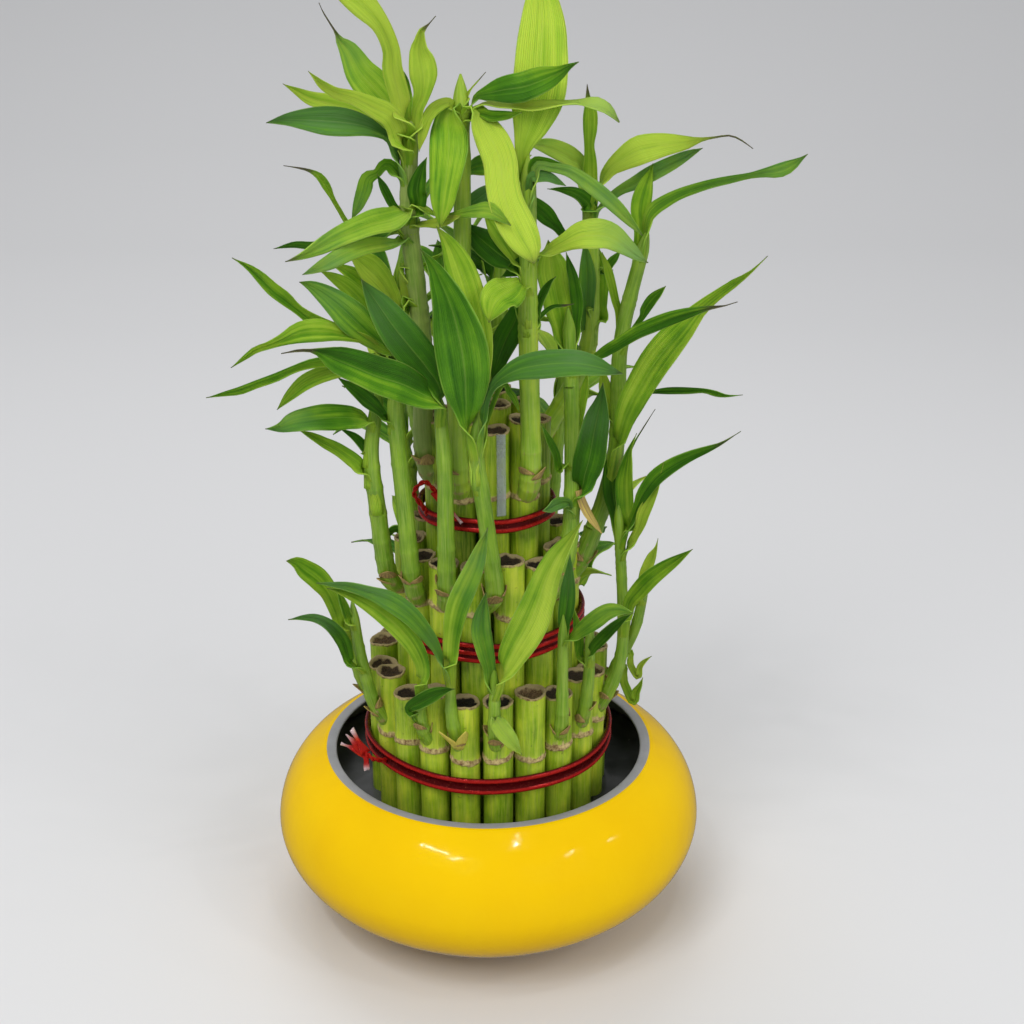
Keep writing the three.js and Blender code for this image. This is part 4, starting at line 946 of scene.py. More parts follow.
class GreyBody(Finish):
    """The grey lip and the dark grey inside of the bowl, with pale specks."""

    title = "grey_ceramic"
    inside: Triple = (0.24, 0.24, 0.245)
    fleck: Triple = (0.4, 0.4, 0.41)
    lip_deep: Triple = (0.26, 0.26, 0.27)
    lip_pale: Triple = (0.38, 0.38, 0.4)

    def lay(self) -> None:
        """Lays the nodes of the grey ceramic."""
        nodes = self.nodes
        lip_share = self.look()[0]
        blotch, speck = self.mottle(150.0)
        inside = nodes.mix(nodes.range(speck, 0.5, 0.75, 0, 0.6), self.inside, self.fleck)
        lip = nodes.mix(blotch, self.lip_deep, self.lip_pale)
        self.set(Base_Color=nodes.mix(lip_share, inside, lip),
                 Roughness=nodes.range(blotch, 0.3, 0.7, 0.3, 0.5))
        self.bump(speck, 0.0002)


class StillWater(Finish):
    """Still, dark water with a faint ripple and specks of dust."""

    title = "still_water"
    dark: Triple = (0.035, 0.037, 0.035)
    clouded: Triple = (0.13, 0.13, 0.135)
    dust: Triple = (0.35, 0.34, 0.33)

    def lay(self) -> None:
        """Lays the nodes of the water."""
        nodes = self.nodes
        blotch, speck = self.mottle(30.0)
        depth = nodes.mix(nodes.range(blotch, 0.35, 0.65, 0, 1), self.dark, self.clouded)
        dusty = nodes.mix(nodes.range(speck, 0.66, 0.72, 0, 0.7), depth, self.dust)
        self.set(Base_Color=dusty, Roughness=0.05, IOR=1.33)
        self.bump(blotch, 0.002)


class RedFoil(Finish):
    """Red metallic foil: painted highlight on the wires, painted shade between, orange specks, clear at torn
    tips.
    """

    title = "red_foil"
    # the first red is painted shade between the wires, the second a painted highlight on their crowns
    dark: Triple = (0.13, 0.002, 0.004)
    crown_highlight: Triple = (0.7, 0.022, 0.016)
    orange_speck: Triple = (0.95, 0.2, 0.1)
    clear: Triple = (0.75, 0.72, 0.74)

    def lay(self) -> None:
        """Lays the nodes of the foil."""
        nodes = self.nodes
        crown_highlight, _, clear, _ = self.look()
        blotch, speck = self.mottle(260.0)
        # painted highlight on the wire crowns, painted shade between them
        film = nodes.mix(crown_highlight, self.dark, self.crown_highlight)
        specked = nodes.mix(nodes.range(speck, 0.62, 0.75, 0, 0.7), film, self.orange_speck)
        self.set(Base_Color=nodes.mix(clear, specked, self.clear),
                 Metallic=nodes.range(clear, 0, 1, 0.6, 0.1),
                 Roughness=nodes.range(blotch, 0.3, 0.7, 0.18, 0.36))
        self.bump(blotch, 0.0004)


class ClearPlastic(Finish):
    """Clear plastic strip, milky where it is scuffed."""

    title = "clear_plastic"
    clear: Triple = (0.26, 0.3, 0.28)
    milky: Triple = (0.48, 0.52, 0.52)

    def lay(self) -> None:
        """Lays the nodes of the plastic."""
        nodes = self.nodes
        blotch, _ = self.mottle(150.0)
        self.set(Base_Color=nodes.mix(blotch, self.clear, self.milky), Roughness=0.2,
                 Alpha=nodes.range(blotch, 0.3, 0.7, 0.3, 0.65))


class Skin(Enum):
    """The material slots of a leafy cane, in order."""

    CANE = 0
    CUT = 1
    SHOOT = 2
    LEAF = 3
    SCALE = 4


@dataclass(frozen=True)
class Palette:
    """Every material, built once."""

    plant: tuple[Material, ...]
    glaze: Material
    grey: Material
    water: Material
    foil: Material
    plastic: Material

    @classmethod
    def make(cls) -> "Palette":
        """Builds the finishes on one set of shared effects.

        Returns:
            The palette.
        """
        shared = SharedEffects.make()
        plant = (CaneSkin, CutEnd, ShootSkin, LeafSkin, PaperScale)
        return cls(
            tuple(finish(shared).material for finish in plant),
            YellowGlaze(shared).material,
            GreyBody(shared).material,
            StillWater(shared).material,
            RedFoil(shared).material,
            ClearPlastic(shared).material,
        )


# ---- Mesh work ----

Look = tuple[float, ...]


def only(made: list, kind: type) -> list:
    """Those of one kind among the things that an operator made."""
    return [item for item in made if isinstance(item, kind)]


def edges_of(verts: Iterable[BMVert]) -> list[BMEdge]:
    """The edges that meet at some corners."""
    return list({edge for vert in verts for edge in vert.link_edges})


class Modeller:
    """One mesh in the making, in millimetres, with the map and attribute that the finishes read."""

    def __init__(self) -> None:
        """Starts an empty mesh with its layers."""
        self.bm = bmesh.new()
        self.uv = self.bm.loops.layers.uv.new(GRAIN_MAP)
        self.look = self.bm.verts.layers.float_color.new(LOOK)

    def tint(self, verts: Iterable[BMVert], tone: float, chance: float, dry: float = 0.0) -> None:
        """Sets tone, chance and dryness on some corners."""
        for vert in verts:
            vert[self.look] = (tone, chance, dry, 0.0)

    def ring(self, place: Matrix, radius: float, sides: int) -> tuple[list, list]:
        """Starts a tube with one ring square to its place's Z, and gives its corners and its edges."""
        verts = bmesh.ops.create_circle(self.bm, segments=sides, radius=radius, matrix=place)["verts"]
        return verts, edges_of(verts)

    def extend(self, edges: list, move: Matrix) -> tuple[list, list, list]:
        """Extrudes a tube's open ring and moves the new one.

        Args:
            edges: the ring's edges.
            move: the move from the old ring to the new one.

        Returns:
            The new corners, the new edges and the new faces.
        """
        made = bmesh.ops.extrude_edge_only(self.bm, edges=edges)["geom"]
        verts = only(made, BMVert)
        fresh = set(verts)
        rim = [edge for edge in only(made, BMEdge) if fresh.issuperset(edge.verts)]
        bmesh.ops.transform(self.bm, matrix=move, verts=verts)
        return verts, rim, only(made, BMFace)

    def sweep(self, points: list[Vector], radii: list[float], sides: int, skin: int,
              look: Callable[[int], Look]) -> None:
        """Sweeps a round tube along a run of points and caps both ends.

        Args:
            points: the middle of the tube.
            radii: its radius at each point.
            sides: its sides.
            skin: its material slot.
            look: gives tone, chance and dryness at each point.
        """
        frames = self.frames(points)
        scaled = [place @ Matrix.Scale(radius, 4) for place, radius in zip(frames, radii)]
        spots = {}
        verts, edges = self.ring(scaled[0], 1.0, sides)
        self.tint(verts, *look(0))
        self.map_ring(verts, frames[0], 0.0, sides, spots)
        foot = edges
        made = []
        length = 0.0
        for k in range(1, len(points)):
            length += (points[k] - points[k - 1]).length
            verts, edges, faces = self.extend(edges, scaled[k] @ scaled[k - 1].inverted())
            self.tint(verts, *look(k))
            self.map_ring(verts, frames[k], length, sides, spots)
            made += faces
        for ends in (foot, edges):
            made += bmesh.ops.edgeloop_fill(self.bm, edges=ends)["faces"]
        self.write_map(made, spots)
        self.dress(made, skin)

    def map_ring(self, verts: list, place: Matrix, length: float, sides: int, spots: dict) -> None:
        """Notes where each corner of a ring lies on the map.

        Args:
            verts: the ring's corners.
            place: the ring's frame.
            length: how far along the tube it lies.
            sides: how many sides it has.
            spots: the notes, corner to (round, along).
        """
        back = place.inverted()
        for vert in verts:
            local = back @ vert.co
            share = math.atan2(local.y, local.x) / math.tau
            spots[vert] = (round(share * sides) / sides % 1.0, length)

    def write_map(self, faces: list, spots: dict) -> None:
        """Writes the map of a tube, and closes it over its seam.

        Args:
            faces: the tube's faces.
            spots: the notes of map_ring().
        """
        for face in faces:
            shares = [spots.get(loop.vert, (0.0, 0.0))[0] for loop in face.loops]
            wraps = max(shares) - min(shares) > 0.5
            for loop, share in zip(face.loops, shares):
                along = spots.get(loop.vert, (0.0, 0.0))[1]
                loop[self.uv].uv = (share + 1.0 if wraps and share < 0.5 else share, along)

    def frames(self, points: list[Vector]) -> list[Matrix]:
        """Frames along a run of points that turn as little as they can.

        Args:
            points: the run.

        Returns:
            A frame at each point, with Z along the run.
        """
        frames = []
        last = len(points) - 1
        side = (points[1] - points[0]).orthogonal()
        for k, point in enumerate(points):
            along = (points[min(k + 1, last)] - points[max(k - 1, 0)]).normalized()
            side = (side - along * side.dot(along)).normalized()
            turn = Matrix((side, along.cross(side), along)).transposed().to_4x4()
            frames.append(Matrix.Translation(point) @ turn)
        return frames

    def sheet(self, across: int, along: int, place: Callable[[float, int], Vector],
              look: Callable[[float, int], Look], thick: float, skin: int) -> None:
        """Adds a sheet with a thickness.

        Args:
            across: its cells across.
            along: its cells along.
            place: gives a corner's place from -1 to 1 across and its row.
            look: gives its tone, chance and dryness.
            thick: its thickness.
            skin: its material slot.
        """
        old = set(self.bm.faces)
        verts = bmesh.ops.create_grid(self.bm, x_segments=across, y_segments=along, size=0.5)["verts"]
        faces = [face for face in self.bm.faces if face not in old]
        for face in faces:
            for loop in face.loops:
                loop[self.uv].uv = (loop.vert.co.x + 0.5, loop.vert.co.y + 0.5)
        for vert in verts:
            s = vert.co.x * 2
            row = round((vert.co.y + 0.5) * along)
            vert[self.look] = (*look(s, row), 0.0)[:4]
            vert.co = place(s, row)
        made = bmesh.ops.extrude_face_region(self.bm, geom=faces, use_keep_orig=True)["geom"]
        upper = only(made, BMFace)
        for face in upper:
            face.normal_update()
        raised = upper[0].normal.copy()
        for vert in only(made, BMVert):
            way = sum((face.normal for face in vert.link_faces if face in upper), Vector())
            vert.co += way.normalized() * thick
        skinned = [face for face in self.bm.faces if face not in old]
        bmesh.ops.recalc_face_normals(self.bm, faces=skinned)
        if upper[0].normal.dot(raised) < 0:
            bmesh.ops.reverse_faces(self.bm, faces=skinned)
        self.dress(skinned, skin)

    def dress(self, faces: list, skin: int) -> None:
        """Gives faces their material slot and soft shading.

        Args:
            faces: the faces.
            skin: the slot.
        """
        for face in faces:
            face.material_index = skin
            face.smooth = True

    def piece(self, name: str, materials: tuple[Material, ...], node: str, slot: str) -> None:
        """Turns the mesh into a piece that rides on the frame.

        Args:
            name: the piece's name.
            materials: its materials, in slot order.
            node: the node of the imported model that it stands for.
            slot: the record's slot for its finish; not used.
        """
        bmesh.ops.scale(self.bm, vec=(MM, MM, MM), verts=self.bm.verts)
        mesh = bpy.data.meshes.new(name)
        self.bm.to_mesh(mesh)
        self.bm.free()
        for material in materials:
            mesh.materials.append(material)
        piece = bpy.data.objects.new(name, mesh)
        bpy.context.scene.collection.objects.link(piece)
        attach(piece, "root")
        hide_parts(node)
        LOG.info("%s: %d faces", name, len(mesh.polygons))


def lathe(model: Modeller, outline: list[tuple[float, float]], sides: int) -> list:
    """Spins a closed outline of (radius, height) round the plant's middle.

    Args:
        model: the mesh to add to.
        outline: the outline, either closed by its last point or with both ends on the axis.
        sides: how many steps the spin takes.

    Returns:
        The faces made.
    """
    bm = model.bm
    verts = [bm.verts.new((radius, 0, z)) for radius, z in outline]
    edges = [bm.edges.new(pair) for pair in zip(verts, verts[1:])]
    bmesh.ops.spin(bm, geom=verts + edges, cent=(0, 0, 0), axis=(0, 0, 1), angle=math.tau, steps=sides,
                   use_merge=True)
    bmesh.ops.remove_doubles(bm, verts=bm.verts, dist=0.001)
    faces = list(bm.faces)
    bmesh.ops.recalc_face_normals(bm, faces=faces)
    for face in faces:
        for loop in face.loops:
            co = loop.vert.co
            loop[model.uv].uv = (math.atan2(co.y, co.x) / math.tau, co.z)
    return faces


# ---- The bowl and its water ----

GLAZED, BARE = 0, 1  # the bowl's material slots


def rounded(marks: list[tuple[float, float]], steps: int) -> list[tuple[float, float]]:
    """A smooth outline of (radius, height) through its marks, with `steps` stretches between two."""
    return [(p.x, p.y) for p in catmull_rom([Vector((r, z, 0)) for r, z in marks], steps)]


@dataclass
class Bowl:
    """One ceramic bowl: a flat foot, a round belly, a drawn-in shoulder and a flat lip."""

    foot: float = 41.0
    floor: float = 5.0
    lip_outer: float = 57.7
    lip_inner: float = 53.2
    height: float = 60.0
    foot_recess: float = 1.2
    foot_ring: float = 5.0
    edge: float = 0.7
    lip_paint: float = 1.2
    lap: float = 1.0
    sides: int = 160
    steps: int = 6

    def outside(self) -> list[tuple[float, float]]:
        """The outside, from the foot to the lip.

        Returns:
            Its points, as (radius, height).
        """
        marks = [(self.foot, 0), (56.5, 9.5), (69, 20.5), (74, 32), (72.4, 43.5), (66.6, 53),
                 (self.lip_outer, self.height - 0.1)]
        return rounded(marks, self.steps)

    def inside(self) -> list[tuple[float, float]]:
        """The inside, from the lip to the floor.

        Returns:
            Its points, as (radius, height).
        """
        marks = [(self.lip_inner, self.height - self.edge), (61.5, 51), (67.5, 43), (69.5, 32), (63.5, 20.5),
                 (52, 11), (43, self.floor)]
        return rounded(marks, self.steps)

    def build(self, palette: Palette) -> None:
        """Spins the wall and parts the glaze from the grey body at the lip.

        Args:
            palette: every material.
        """
        model = Modeller()
        ring = self.foot - self.foot_ring
        underside = [(0, self.foot_recess), (ring - 1, self.foot_recess), (ring, 0.3), (ring + 0.6, 0)]
        lip = [(self.lip_outer - self.edge / 2, self.height), (self.lip_outer - self.lap, self.height),
               (self.lip_inner + self.edge, self.height), (self.lip_inner + 0.2, self.height - 0.25)]
        outline = [*underside, *self.outside(), *lip, *self.inside(), (0, self.floor)]
        faces = lathe(model, outline, self.sides)
        model.dress(faces, BARE)
        for face in faces:
            middle = face.calc_center_median()
            level = Vector((middle.x, middle.y, 0))
            outwards = face.normal.dot(level) > 0 and level.length > self.foot - 1
            lapped = middle.z > self.height - 0.06 and level.length > self.lip_outer - self.lap
            if lapped or outwards and 0.05 < middle.z:
                face.material_index = GLAZED
        for vert in model.bm.verts:
            model.tint([vert], 1.0 if vert.co.z > self.height - self.lip_paint else 0.0, 0.5)
        model.piece("yellow_bowl", (palette.glaze, palette.grey), "bowl", "glaze")


@dataclass
class Water:
    """The water round the bundle, up against the bowl's wall."""

    top: float = 46.0
    bottom: float = 6.0
    inner: float = 38.6
    outer: float = 64.7
    creep: float = 0.7
    sides: int = 120

    def build(self, palette: Palette) -> None:
        """Spins the water, with its edge creeping up the wall.

        Args:
            palette: every material.
        """
        model = Modeller()
        low = self.top - self.creep
        wall = [(42.5, self.bottom), (51.5, 11.2), (63.0, 20.7), (69.0, 32)]
        surface = [(self.outer, self.top), (self.outer - 1.2, low), (self.outer - 4, low - 0.2),
                   (self.inner + 4, low - 0.2), (self.inner, low)]
        outline = [(self.inner, self.bottom), *wall, *surface, (self.inner, self.bottom)]
        model.dress(lathe(model, outline, self.sides), 0)
        model.tint(model.bm.verts, 0.5, 0.5)
        model.piece("bowl_water", (palette.water,), "water", "water")


# ---- The ties and the strip ----


@dataclass
class FoilTie:
    """One red foil band: wires under the foil, a twist that closes it, and its torn ends."""

    name: str
    bundle: float
    z: float
    wires: int
    span: float
    tail: float
    twist_run: tuple[Triple, ...]
    shreds: tuple[Triple, ...]
    wire: float = 0.85
    film: float = 0.3
    strand: float = 0.42
    turns: float = 0.085
    sag: float = 0.35
    crease: float = 0.25
    # how little a spot of the band may face outwards before its painted highlight is gone
    shade_cutoff: float = 0.35
    clearance: float = 0.35
    wire_steps: int = 8
    sides: int = 120
    seed: int = 3

    @property
    def radius(self) -> float:
        """The radius that the band's middle runs at."""
        return self.bundle + self.clearance + self.wire

    def outline(self) -> list[Triple]:
        """The band's section as (radius, height, share of painted highlight), closed on itself.

        Returns:
            Its points, from the lowest outer one round to it again.
        """
        outer = []
        for k in range(self.wires):
            z = self.span * (k - (self.wires - 1) / 2)
            for n in range(self.wire_steps + 1):
                a = math.pi * (n / self.wire_steps - 0.5)
                swell = max(math.cos(a) * self.wire, self.film)
                outer.append((self.radius + swell, z + self.wire * math.sin(a), math.cos(a)))
        inner = [(2 * self.radius - r, z, 0.0) for r, z, _ in reversed(outer)]
        return [*outer, *inner, outer[0]]

    def band(self, model: Modeller) -> None:
        """Spins the band and lets it sag and crease a little.

        Args:
            model: the mesh.
        """
        outline = self.outline()
        faces = lathe(model, [(r, z + self.z) for r, z, _ in outline], self.sides)
        model.dress(faces, 0)
        for vert in model.bm.verts:
            angle = math.atan2(vert.co.x, -vert.co.y)
            at = (math.hypot(vert.co.x, vert.co.y), vert.co.z - self.z)
            nearest = min(outline, key=lambda spot: math.dist(spot[:2], at))
            # painted highlight on the wire crowns, fading to painted shade between the wires and on the
            # inside
            model.tint([vert], max(nearest[2] - self.shade_cutoff, 0) / (1 - self.shade_cutoff), 0.5)
            sag = self.sag * math.sin(2 * angle + self.seed)
            vert.co.z += sag + self.crease * math.sin(5 * angle + 2 * self.seed)

    def twist(self, model: Modeller) -> None:
        """Twists the two ends together along their run and tears the foil at the end.

        Args:
            model: the mesh.
        """
        marks = [at_angle(self.radius, self.tail, self.z), *(Vector(point) for point in self.twist_run)]
        run = catmull_rom(marks, 12)
        frames = model.frames(run)
        turn = math.tau * self.turns
        for strand in (0, math.pi):
            points = []
            for n, place in enumerate(frames):
                a = strand + turn * n
                points.append(place @ Vector((self.strand * math.cos(a), self.strand * math.sin(a), 0)))
            radii = [self.strand * (1.25 - 0.35 * n / len(run)) for n in range(len(run))]
            # the strands take mostly the red of the painted highlight
            model.sweep(points, radii, 8, 0, lambda _: (0.9, 0.5, 0.0))
        root = run[-1] - (run[-1] - run[-3]) * 0.6
        for k, end in enumerate(self.shreds):
            self.shred(model, root, Vector(end), k)

    def shred(self, model: Modeller, root: Vector, tip: Vector, number: int) -> None:
        """Adds one torn shred of foil, red at its root and clear at its tip.

        Args:
            model: the mesh.
            root: where it leaves the twist.
            tip: where it ends.
            number: which shred it is.
        """
        rows = 8
        way = (tip - root).normalized()
        flat = way.cross(Vector((0.2, -1, 0.3))).normalized()
        ripple = way.cross(flat)

        def place(s: float, row: int) -> Vector:
            """A crinkled strip that narrows to a ragged end.

            Args:
                s: how far across, from -1 to 1.
                row: how far along, in rows.

            Returns:
                The corner there.
            """
            share = row / rows
            half = 1.5 * (1 - 0.6 * share) + 0.35 * math.sin(5 * share + number)
            wave = 0.45 * math.sin(9 * share + 2 * number + 1.5 * s) * (0.3 + share)
            return root.lerp(tip, share) + flat * (s * half) + ripple * wave

        def look(_: float, row: int) -> Look:
            """The red wears off towards the tip."""
            # mostly the red of the painted highlight, going clear towards the tip
            return 0.9, 0.5, 0.75 * smooth(row / rows, 0.55, 1.0)

        model.sheet(3, rows, place, look, 0.15, 0)

    def build(self, palette: Palette) -> None:
        """Builds the band and its twist as one piece.

        Args:
            palette: every material.
        """
        model = Modeller()
        self.band(model)
        self.twist(model)
        model.piece(f"foil_{self.name}", (palette.foil,), self.name, "wire")


@dataclass
class PlasticStrip:
    """The clear strip that hangs in front of the upper tier."""

    width: float = 3.0
    thick: float = 0.9
    rounding: float = 0.3
    rib: float = 0.16
    ribs: float = 170.0
    bend: float = 0.25
    angle: float = 12.0
    radius: float = 21.9
    bottom: float = 153.6
    top: float = 181.0

    def build(self, palette: Palette) -> None:
        """Builds a softly bent strip with rounded edges and a few cross ribs at its top.

        Args:
            palette: every material.
        """
        model = Modeller()
        span = self.top - self.bottom
        middle = at_angle(self.radius, self.angle, (self.bottom + self.top) / 2)
        size = Matrix.Diagonal((self.width, self.thick, span, 1))
        place = Matrix.Translation(middle) @ Matrix.Rotation(math.radians(self.angle), 4, "Z") @ size
        verts = bmesh.ops.create_cube(model.bm, size=1.0, matrix=place)["verts"]
        bmesh.ops.bevel(model.bm, geom=edges_of(verts), offset=self.rounding, segments=3, profile=0.5,
                        affect="EDGES", material=-1)
        tall = [edge for edge in model.bm.edges if abs(edge.verts[0].co.z - edge.verts[1].co.z) > span / 2]
        bmesh.ops.subdivide_edges(model.bm, edges=tall, cuts=60, use_grid_fill=True)
        for vert in model.bm.verts:
            share = (vert.co.z - self.bottom) / span
            rib = self.rib * math.sin(share * self.ribs) * smooth(share, 0.6, 0.7)
            vert.co += at_angle(self.bend * math.sin(share * math.pi * 1.5) + rib, self.angle)
        model.dress(model.bm.faces, 0)
        model.tint(model.bm.verts, 0.5, 0.5)
        model.piece("clear_strip", (palette.plastic,), "plastic_strip", "strip")


# ---- Canes, shoots and leaves ----

SHEATH_TONE = 0.45
NARROWEST_VIEW = 0.55  # a blade seen on edge isn't widened further than by this
BLADE_OUTLINE = ((0, 0.44), (0.1, 0.5), (0.24, 0.78), (0.42, 1.0), (0.56, 0.98), (0.7, 0.8), (0.84, 0.47),
                 (0.94, 0.15), (1, 0.0))


def sighted_run(plan: Leaf, base: Vector) -> list[Vector]:
    """The middle and the seen width of a leaf that was measured from the front.

    Args:
        plan: the leaf.
        base: where it leaves its shoot.

    Returns:
        Its base and its stations, as (x, y, z, width).
    """
    spots = [SIGHT.seen(base).xy, *(Vector(station[:2]) for station in plan.stations)]
    reach = [0.0]
    for before, spot in zip(spots, spots[1:]):
        reach.append(reach[-1] + (spot - before).length)
    run = [Vector((*base, plan.stations[0][2] * 0.3))]
    for spot, station, gone in zip(spots[1:], plan.stations, reach[1:]):
        depth = base.y + (plan.depth - base.y) * gone / reach[-1]
        point = SIGHT.point(spot.x, spot.y, depth)
        run.append(Vector((*point, station[2] * SIGHT.seen(point).z / SIGHT.reach)))
    return run


def bowed_run(plan: BowedLeaf, base: Vector, look: Vector) -> list[Vector]:
    """The middle and the width of a leaf that bows between its base and its tip.

    Args:
        plan: the leaf.
        base: where it leaves its shoot.
        look: the way its shoot faces.

    Returns:
        Points along it, as (x, y, z, width).
    """
    tip = Vector(plan.tip)
    chord = (tip - base).normalized()
    bow = UP - chord * chord.z
    if bow.length < 0.2:
        bow = look - chord * look.dot(chord)
    bend = base.lerp(tip, 0.45) + bow.normalized() * 2 * plan.bow
    run = []
    for n in range(9):
        t = n / 8
        point = base * (1 - t) ** 2 + bend * 2 * t * (1 - t) + tip * t**2
        run.append(Vector((*point, curve_value(BLADE_OUTLINE, t) * plan.wide)))
    return run


@dataclass
class Blade:
    """One leaf: the sheath that wraps its shoot, and the blade that opens from it."""

    base: Vector
    plan: Leaf | BowedLeaf
    look: Vector
    stem: float
    sheath: float
    seed: int
    sheath_share: float = 0.16
    wrap: float = 2.7
    neck: float = 1.4
    thick: float = 0.42
    across: int = 8
    along: int = 34

    def __post_init__(self) -> None:
        """Draws what makes this leaf differ from the next, and lays out its run."""
        draws = random.Random(self.seed)
        self.sighted = isinstance(self.plan, Leaf)
        if self.sighted:
            knots = sighted_run(self.plan, self.base)
        else:
            knots = bowed_run(self.plan, self.base, self.look)
        self.run = catmull_rom(knots, 10)
        self.lengths = [0.0]
        for before, point in zip(self.run, self.run[1:]):
            self.lengths.append(self.lengths[-1] + (point.xyz - before.xyz).length)
        self.size = self.lengths[-1]
        self.twist = math.radians(draws.uniform(-18, 18))
        self.fold = draws.uniform(0.08, 0.26)
        self.wave = max(point.w for point in self.run) * draws.uniform(0.04, 0.12)
        self.waves = draws.uniform(1.4, 2.8)
        self.phase = draws.uniform(0, math.tau)
        self.chance = draws.random()
        self.curl_over = draws.uniform(0.0, 0.5)

    def heading(self) -> Vector:
        """The level way from the shoot to where the blade has opened.

        Returns:
            The way, one long.
        """
        way = self.run[min(20, len(self.run) - 1)].xyz - self.base
        way.z = 0
        return way.normalized() if way.length > 1 else Vector((self.look.x, self.look.y, 0)).normalized()

    def spine(self, share: float, axis: Vector) -> tuple[Vector, float]:
        """The middle of the blade and its width.

        Args:
            share: how far along it, from 0 to 1.
            axis: the way the shoot grows at its base.

        Returns:
            The point and the width.
        """
        gone = share * self.size
        k = max(n for n in range(len(self.run) - 1) if self.lengths[n] <= gone or n == 0)
        span = max(self.lengths[k + 1] - self.lengths[k], 0.001)
        spot = self.run[k].lerp(self.run[k + 1], min((gone - self.lengths[k]) / span, 1.0))
        start = max(1 - share / 0.25, 0)
        lift = axis * (self.size * 0.2 * share * start**2) + self.heading() * (self.stem + 0.1) * start
        return spot.xyz + lift, max(spot.w, 0.12)

    def rows(self, axis: Vector) -> list[tuple[Vector, Vector, Vector, float, float, float]]:
        """The leaf row by row, from the sheath's foot to the tip.

        Args:
            axis: the way the shoot grows at its base.

        Returns:
            For each row its middle, the way across it, the way its upper side looks, its half width, how
            tightly it curls and its share of the blade.
        """
        out = self.heading()
        lap = self.sheath_share
        shares = [(n / self.along - lap) / (1 - lap) for n in range(self.along + 1)]
        middles = []
        widths = []
        hugs = []
        for share in shares:
            below = min(share * (1 - lap) / lap, 0.0)
            hugs.append(self.stem + 0.1 + 0.45 * below)
            point, width = self.spine(max(share, 0.0), axis)
            sheathed = self.base + axis * (self.sheath * below) + out * hugs[-1]
            middles.append(point if share >= 0 else sheathed)
            widths.append(width)
        facing = UP.lerp(self.look, self.plan.turn)
        lap_way = axis.cross(-out).normalized()
        rows = []
        for n, share in enumerate(shares):
            along = (middles[min(n + 1, self.along)] - middles[max(n - 1, 0)]).normalized()
            across = lap_way.lerp(along.cross(facing).normalized(), smooth(share, 0.0, 0.3))
            across = (across - along * across.dot(along)).normalized()
            across = Matrix.Rotation(self.twist * max(share - 0.2, 0), 3, along) @ across
            blade = widths[n] / 2
            if self.sighted:
                ray = (middles[n] - Vector(SIGHT.eye)).normalized()
                blade /= max((across - ray * across.dot(ray)).length, NARROWEST_VIEW)
            blade = max(blade, self.neck * (1 - smooth(share, 0.1, 0.35)))
            wrapped = hugs[n] * (self.wrap - 1.5 * smooth(share, -0.12, 0.0))
            half = wrapped + (blade - wrapped) * smooth(share, -0.05, 0.13)
            roll = max(hugs[n], 0.4, 0.9 * half * smooth(share, -0.03, 0.03))
            curl = (1 - smooth(share, -0.02, 0.2)) / roll
            rows.append((middles[n], across, across.cross(along).normalized(), half, curl, share))
        return rows

    def corner(self, row: tuple, s: float) -> Vector:
        """One corner of the leaf.

        Args:
            row: the row's numbers from rows().
            s: how far across, from -1 to 1.

        Returns:
            The corner.
        """
        middle, across, up, half, curl, share = row
        reach = s * half
        side, rise = reach, 0.0
        if curl > 0.01:
            side = math.sin(reach * curl) / curl
            rise = (1 - math.cos(reach * curl)) / curl
        opened = smooth(share, 0.12, 0.38)
        gutter = self.fold * 2 * abs(reach) * (1 - self.curl_over * abs(s))
        ripple = math.sin(self.waves * math.tau * share + self.phase + (1.7 if s > 0 else 0))
        taper = min((1 - share) * 4, 1.0) * min(half / 1.5, 1.0)
        wave = self.wave * s * s * ripple * taper
        return middle + across * side + up * (rise + (gutter + wave) * opened)

    def build(self, model: Modeller, axis: Vector) -> None:
        """Adds the leaf to a mesh.

        Args:
            model: the mesh.
            axis: the way the shoot grows at the leaf's base.
        """
        rows = self.rows(axis)
        tone = self.plan.tone.value + (self.chance - 0.5) * 0.14
        foot, tip = self.plan.bloom_and_sheen
        withered = self.plan.dry

        def look(s: float, row: int) -> tuple[float, float, float, float]:
            """One half is deeper in tone, the bloom grows towards the tip, and the tip is dry.

            Args:
                s: how far across, from -1 to 1.
                row: how far along, in rows.

            Returns:
                Tone, chance, dryness, and the grey of wax and painted sheen.
            """
            share = rows[row][5]
            half = rows[row][3]
            thread = smooth(share, 0.7, 0.82) * (1 - smooth(half, 0.35, 1.1)) * min(withered * 2, 1.0)
            end = 0.6 * smooth(share, 0.955, 0.99)
            # far paints one half darker: painted shade on the half turned from the light
            deeper = tone + self.plan.far * smooth(s, -0.2, 0.2)
            deeper = SHEATH_TONE + (deeper - SHEATH_TONE) * smooth(share, -0.02, 0.25)
            return deeper, self.chance, max(thread, end), foot + (tip - foot) * smooth(share, 0.4, 0.85)

        def place(s: float, row: int) -> Vector:
            """A corner of the leaf."""
            return self.corner(rows[row], s)

        model.sheet(self.across, self.along, place, look, self.thick, Skin.LEAF.value)


@dataclass(frozen=True)
class Ring:
    """One ring of canes in the bundle."""

    tier: str
    radius: float
    count: int
    turn: float
    top: float
    scar: float


RINGS = (
    Ring("lower", 36.2, 21, 5, 95, 75),
    Ring("middle", 26.1, 15, -8.5, 138, 123),
    Ring("upper", 16, 9, 8, 181, 158),
    Ring("upper", 6.1, 3, 28, 186, 162),
)
TOP_STEPS = (0, 2, -1.5, 1, -2.5, 1.5, -0.5)  # how the cut tops differ from cane to cane


@dataclass(frozen=True)
class CanePlace:
    """Where one cane stands, and how tall it is."""

    name: str
    tier: str
    angle: float
    at: Vector
    top: float
    scar: float
    number: int


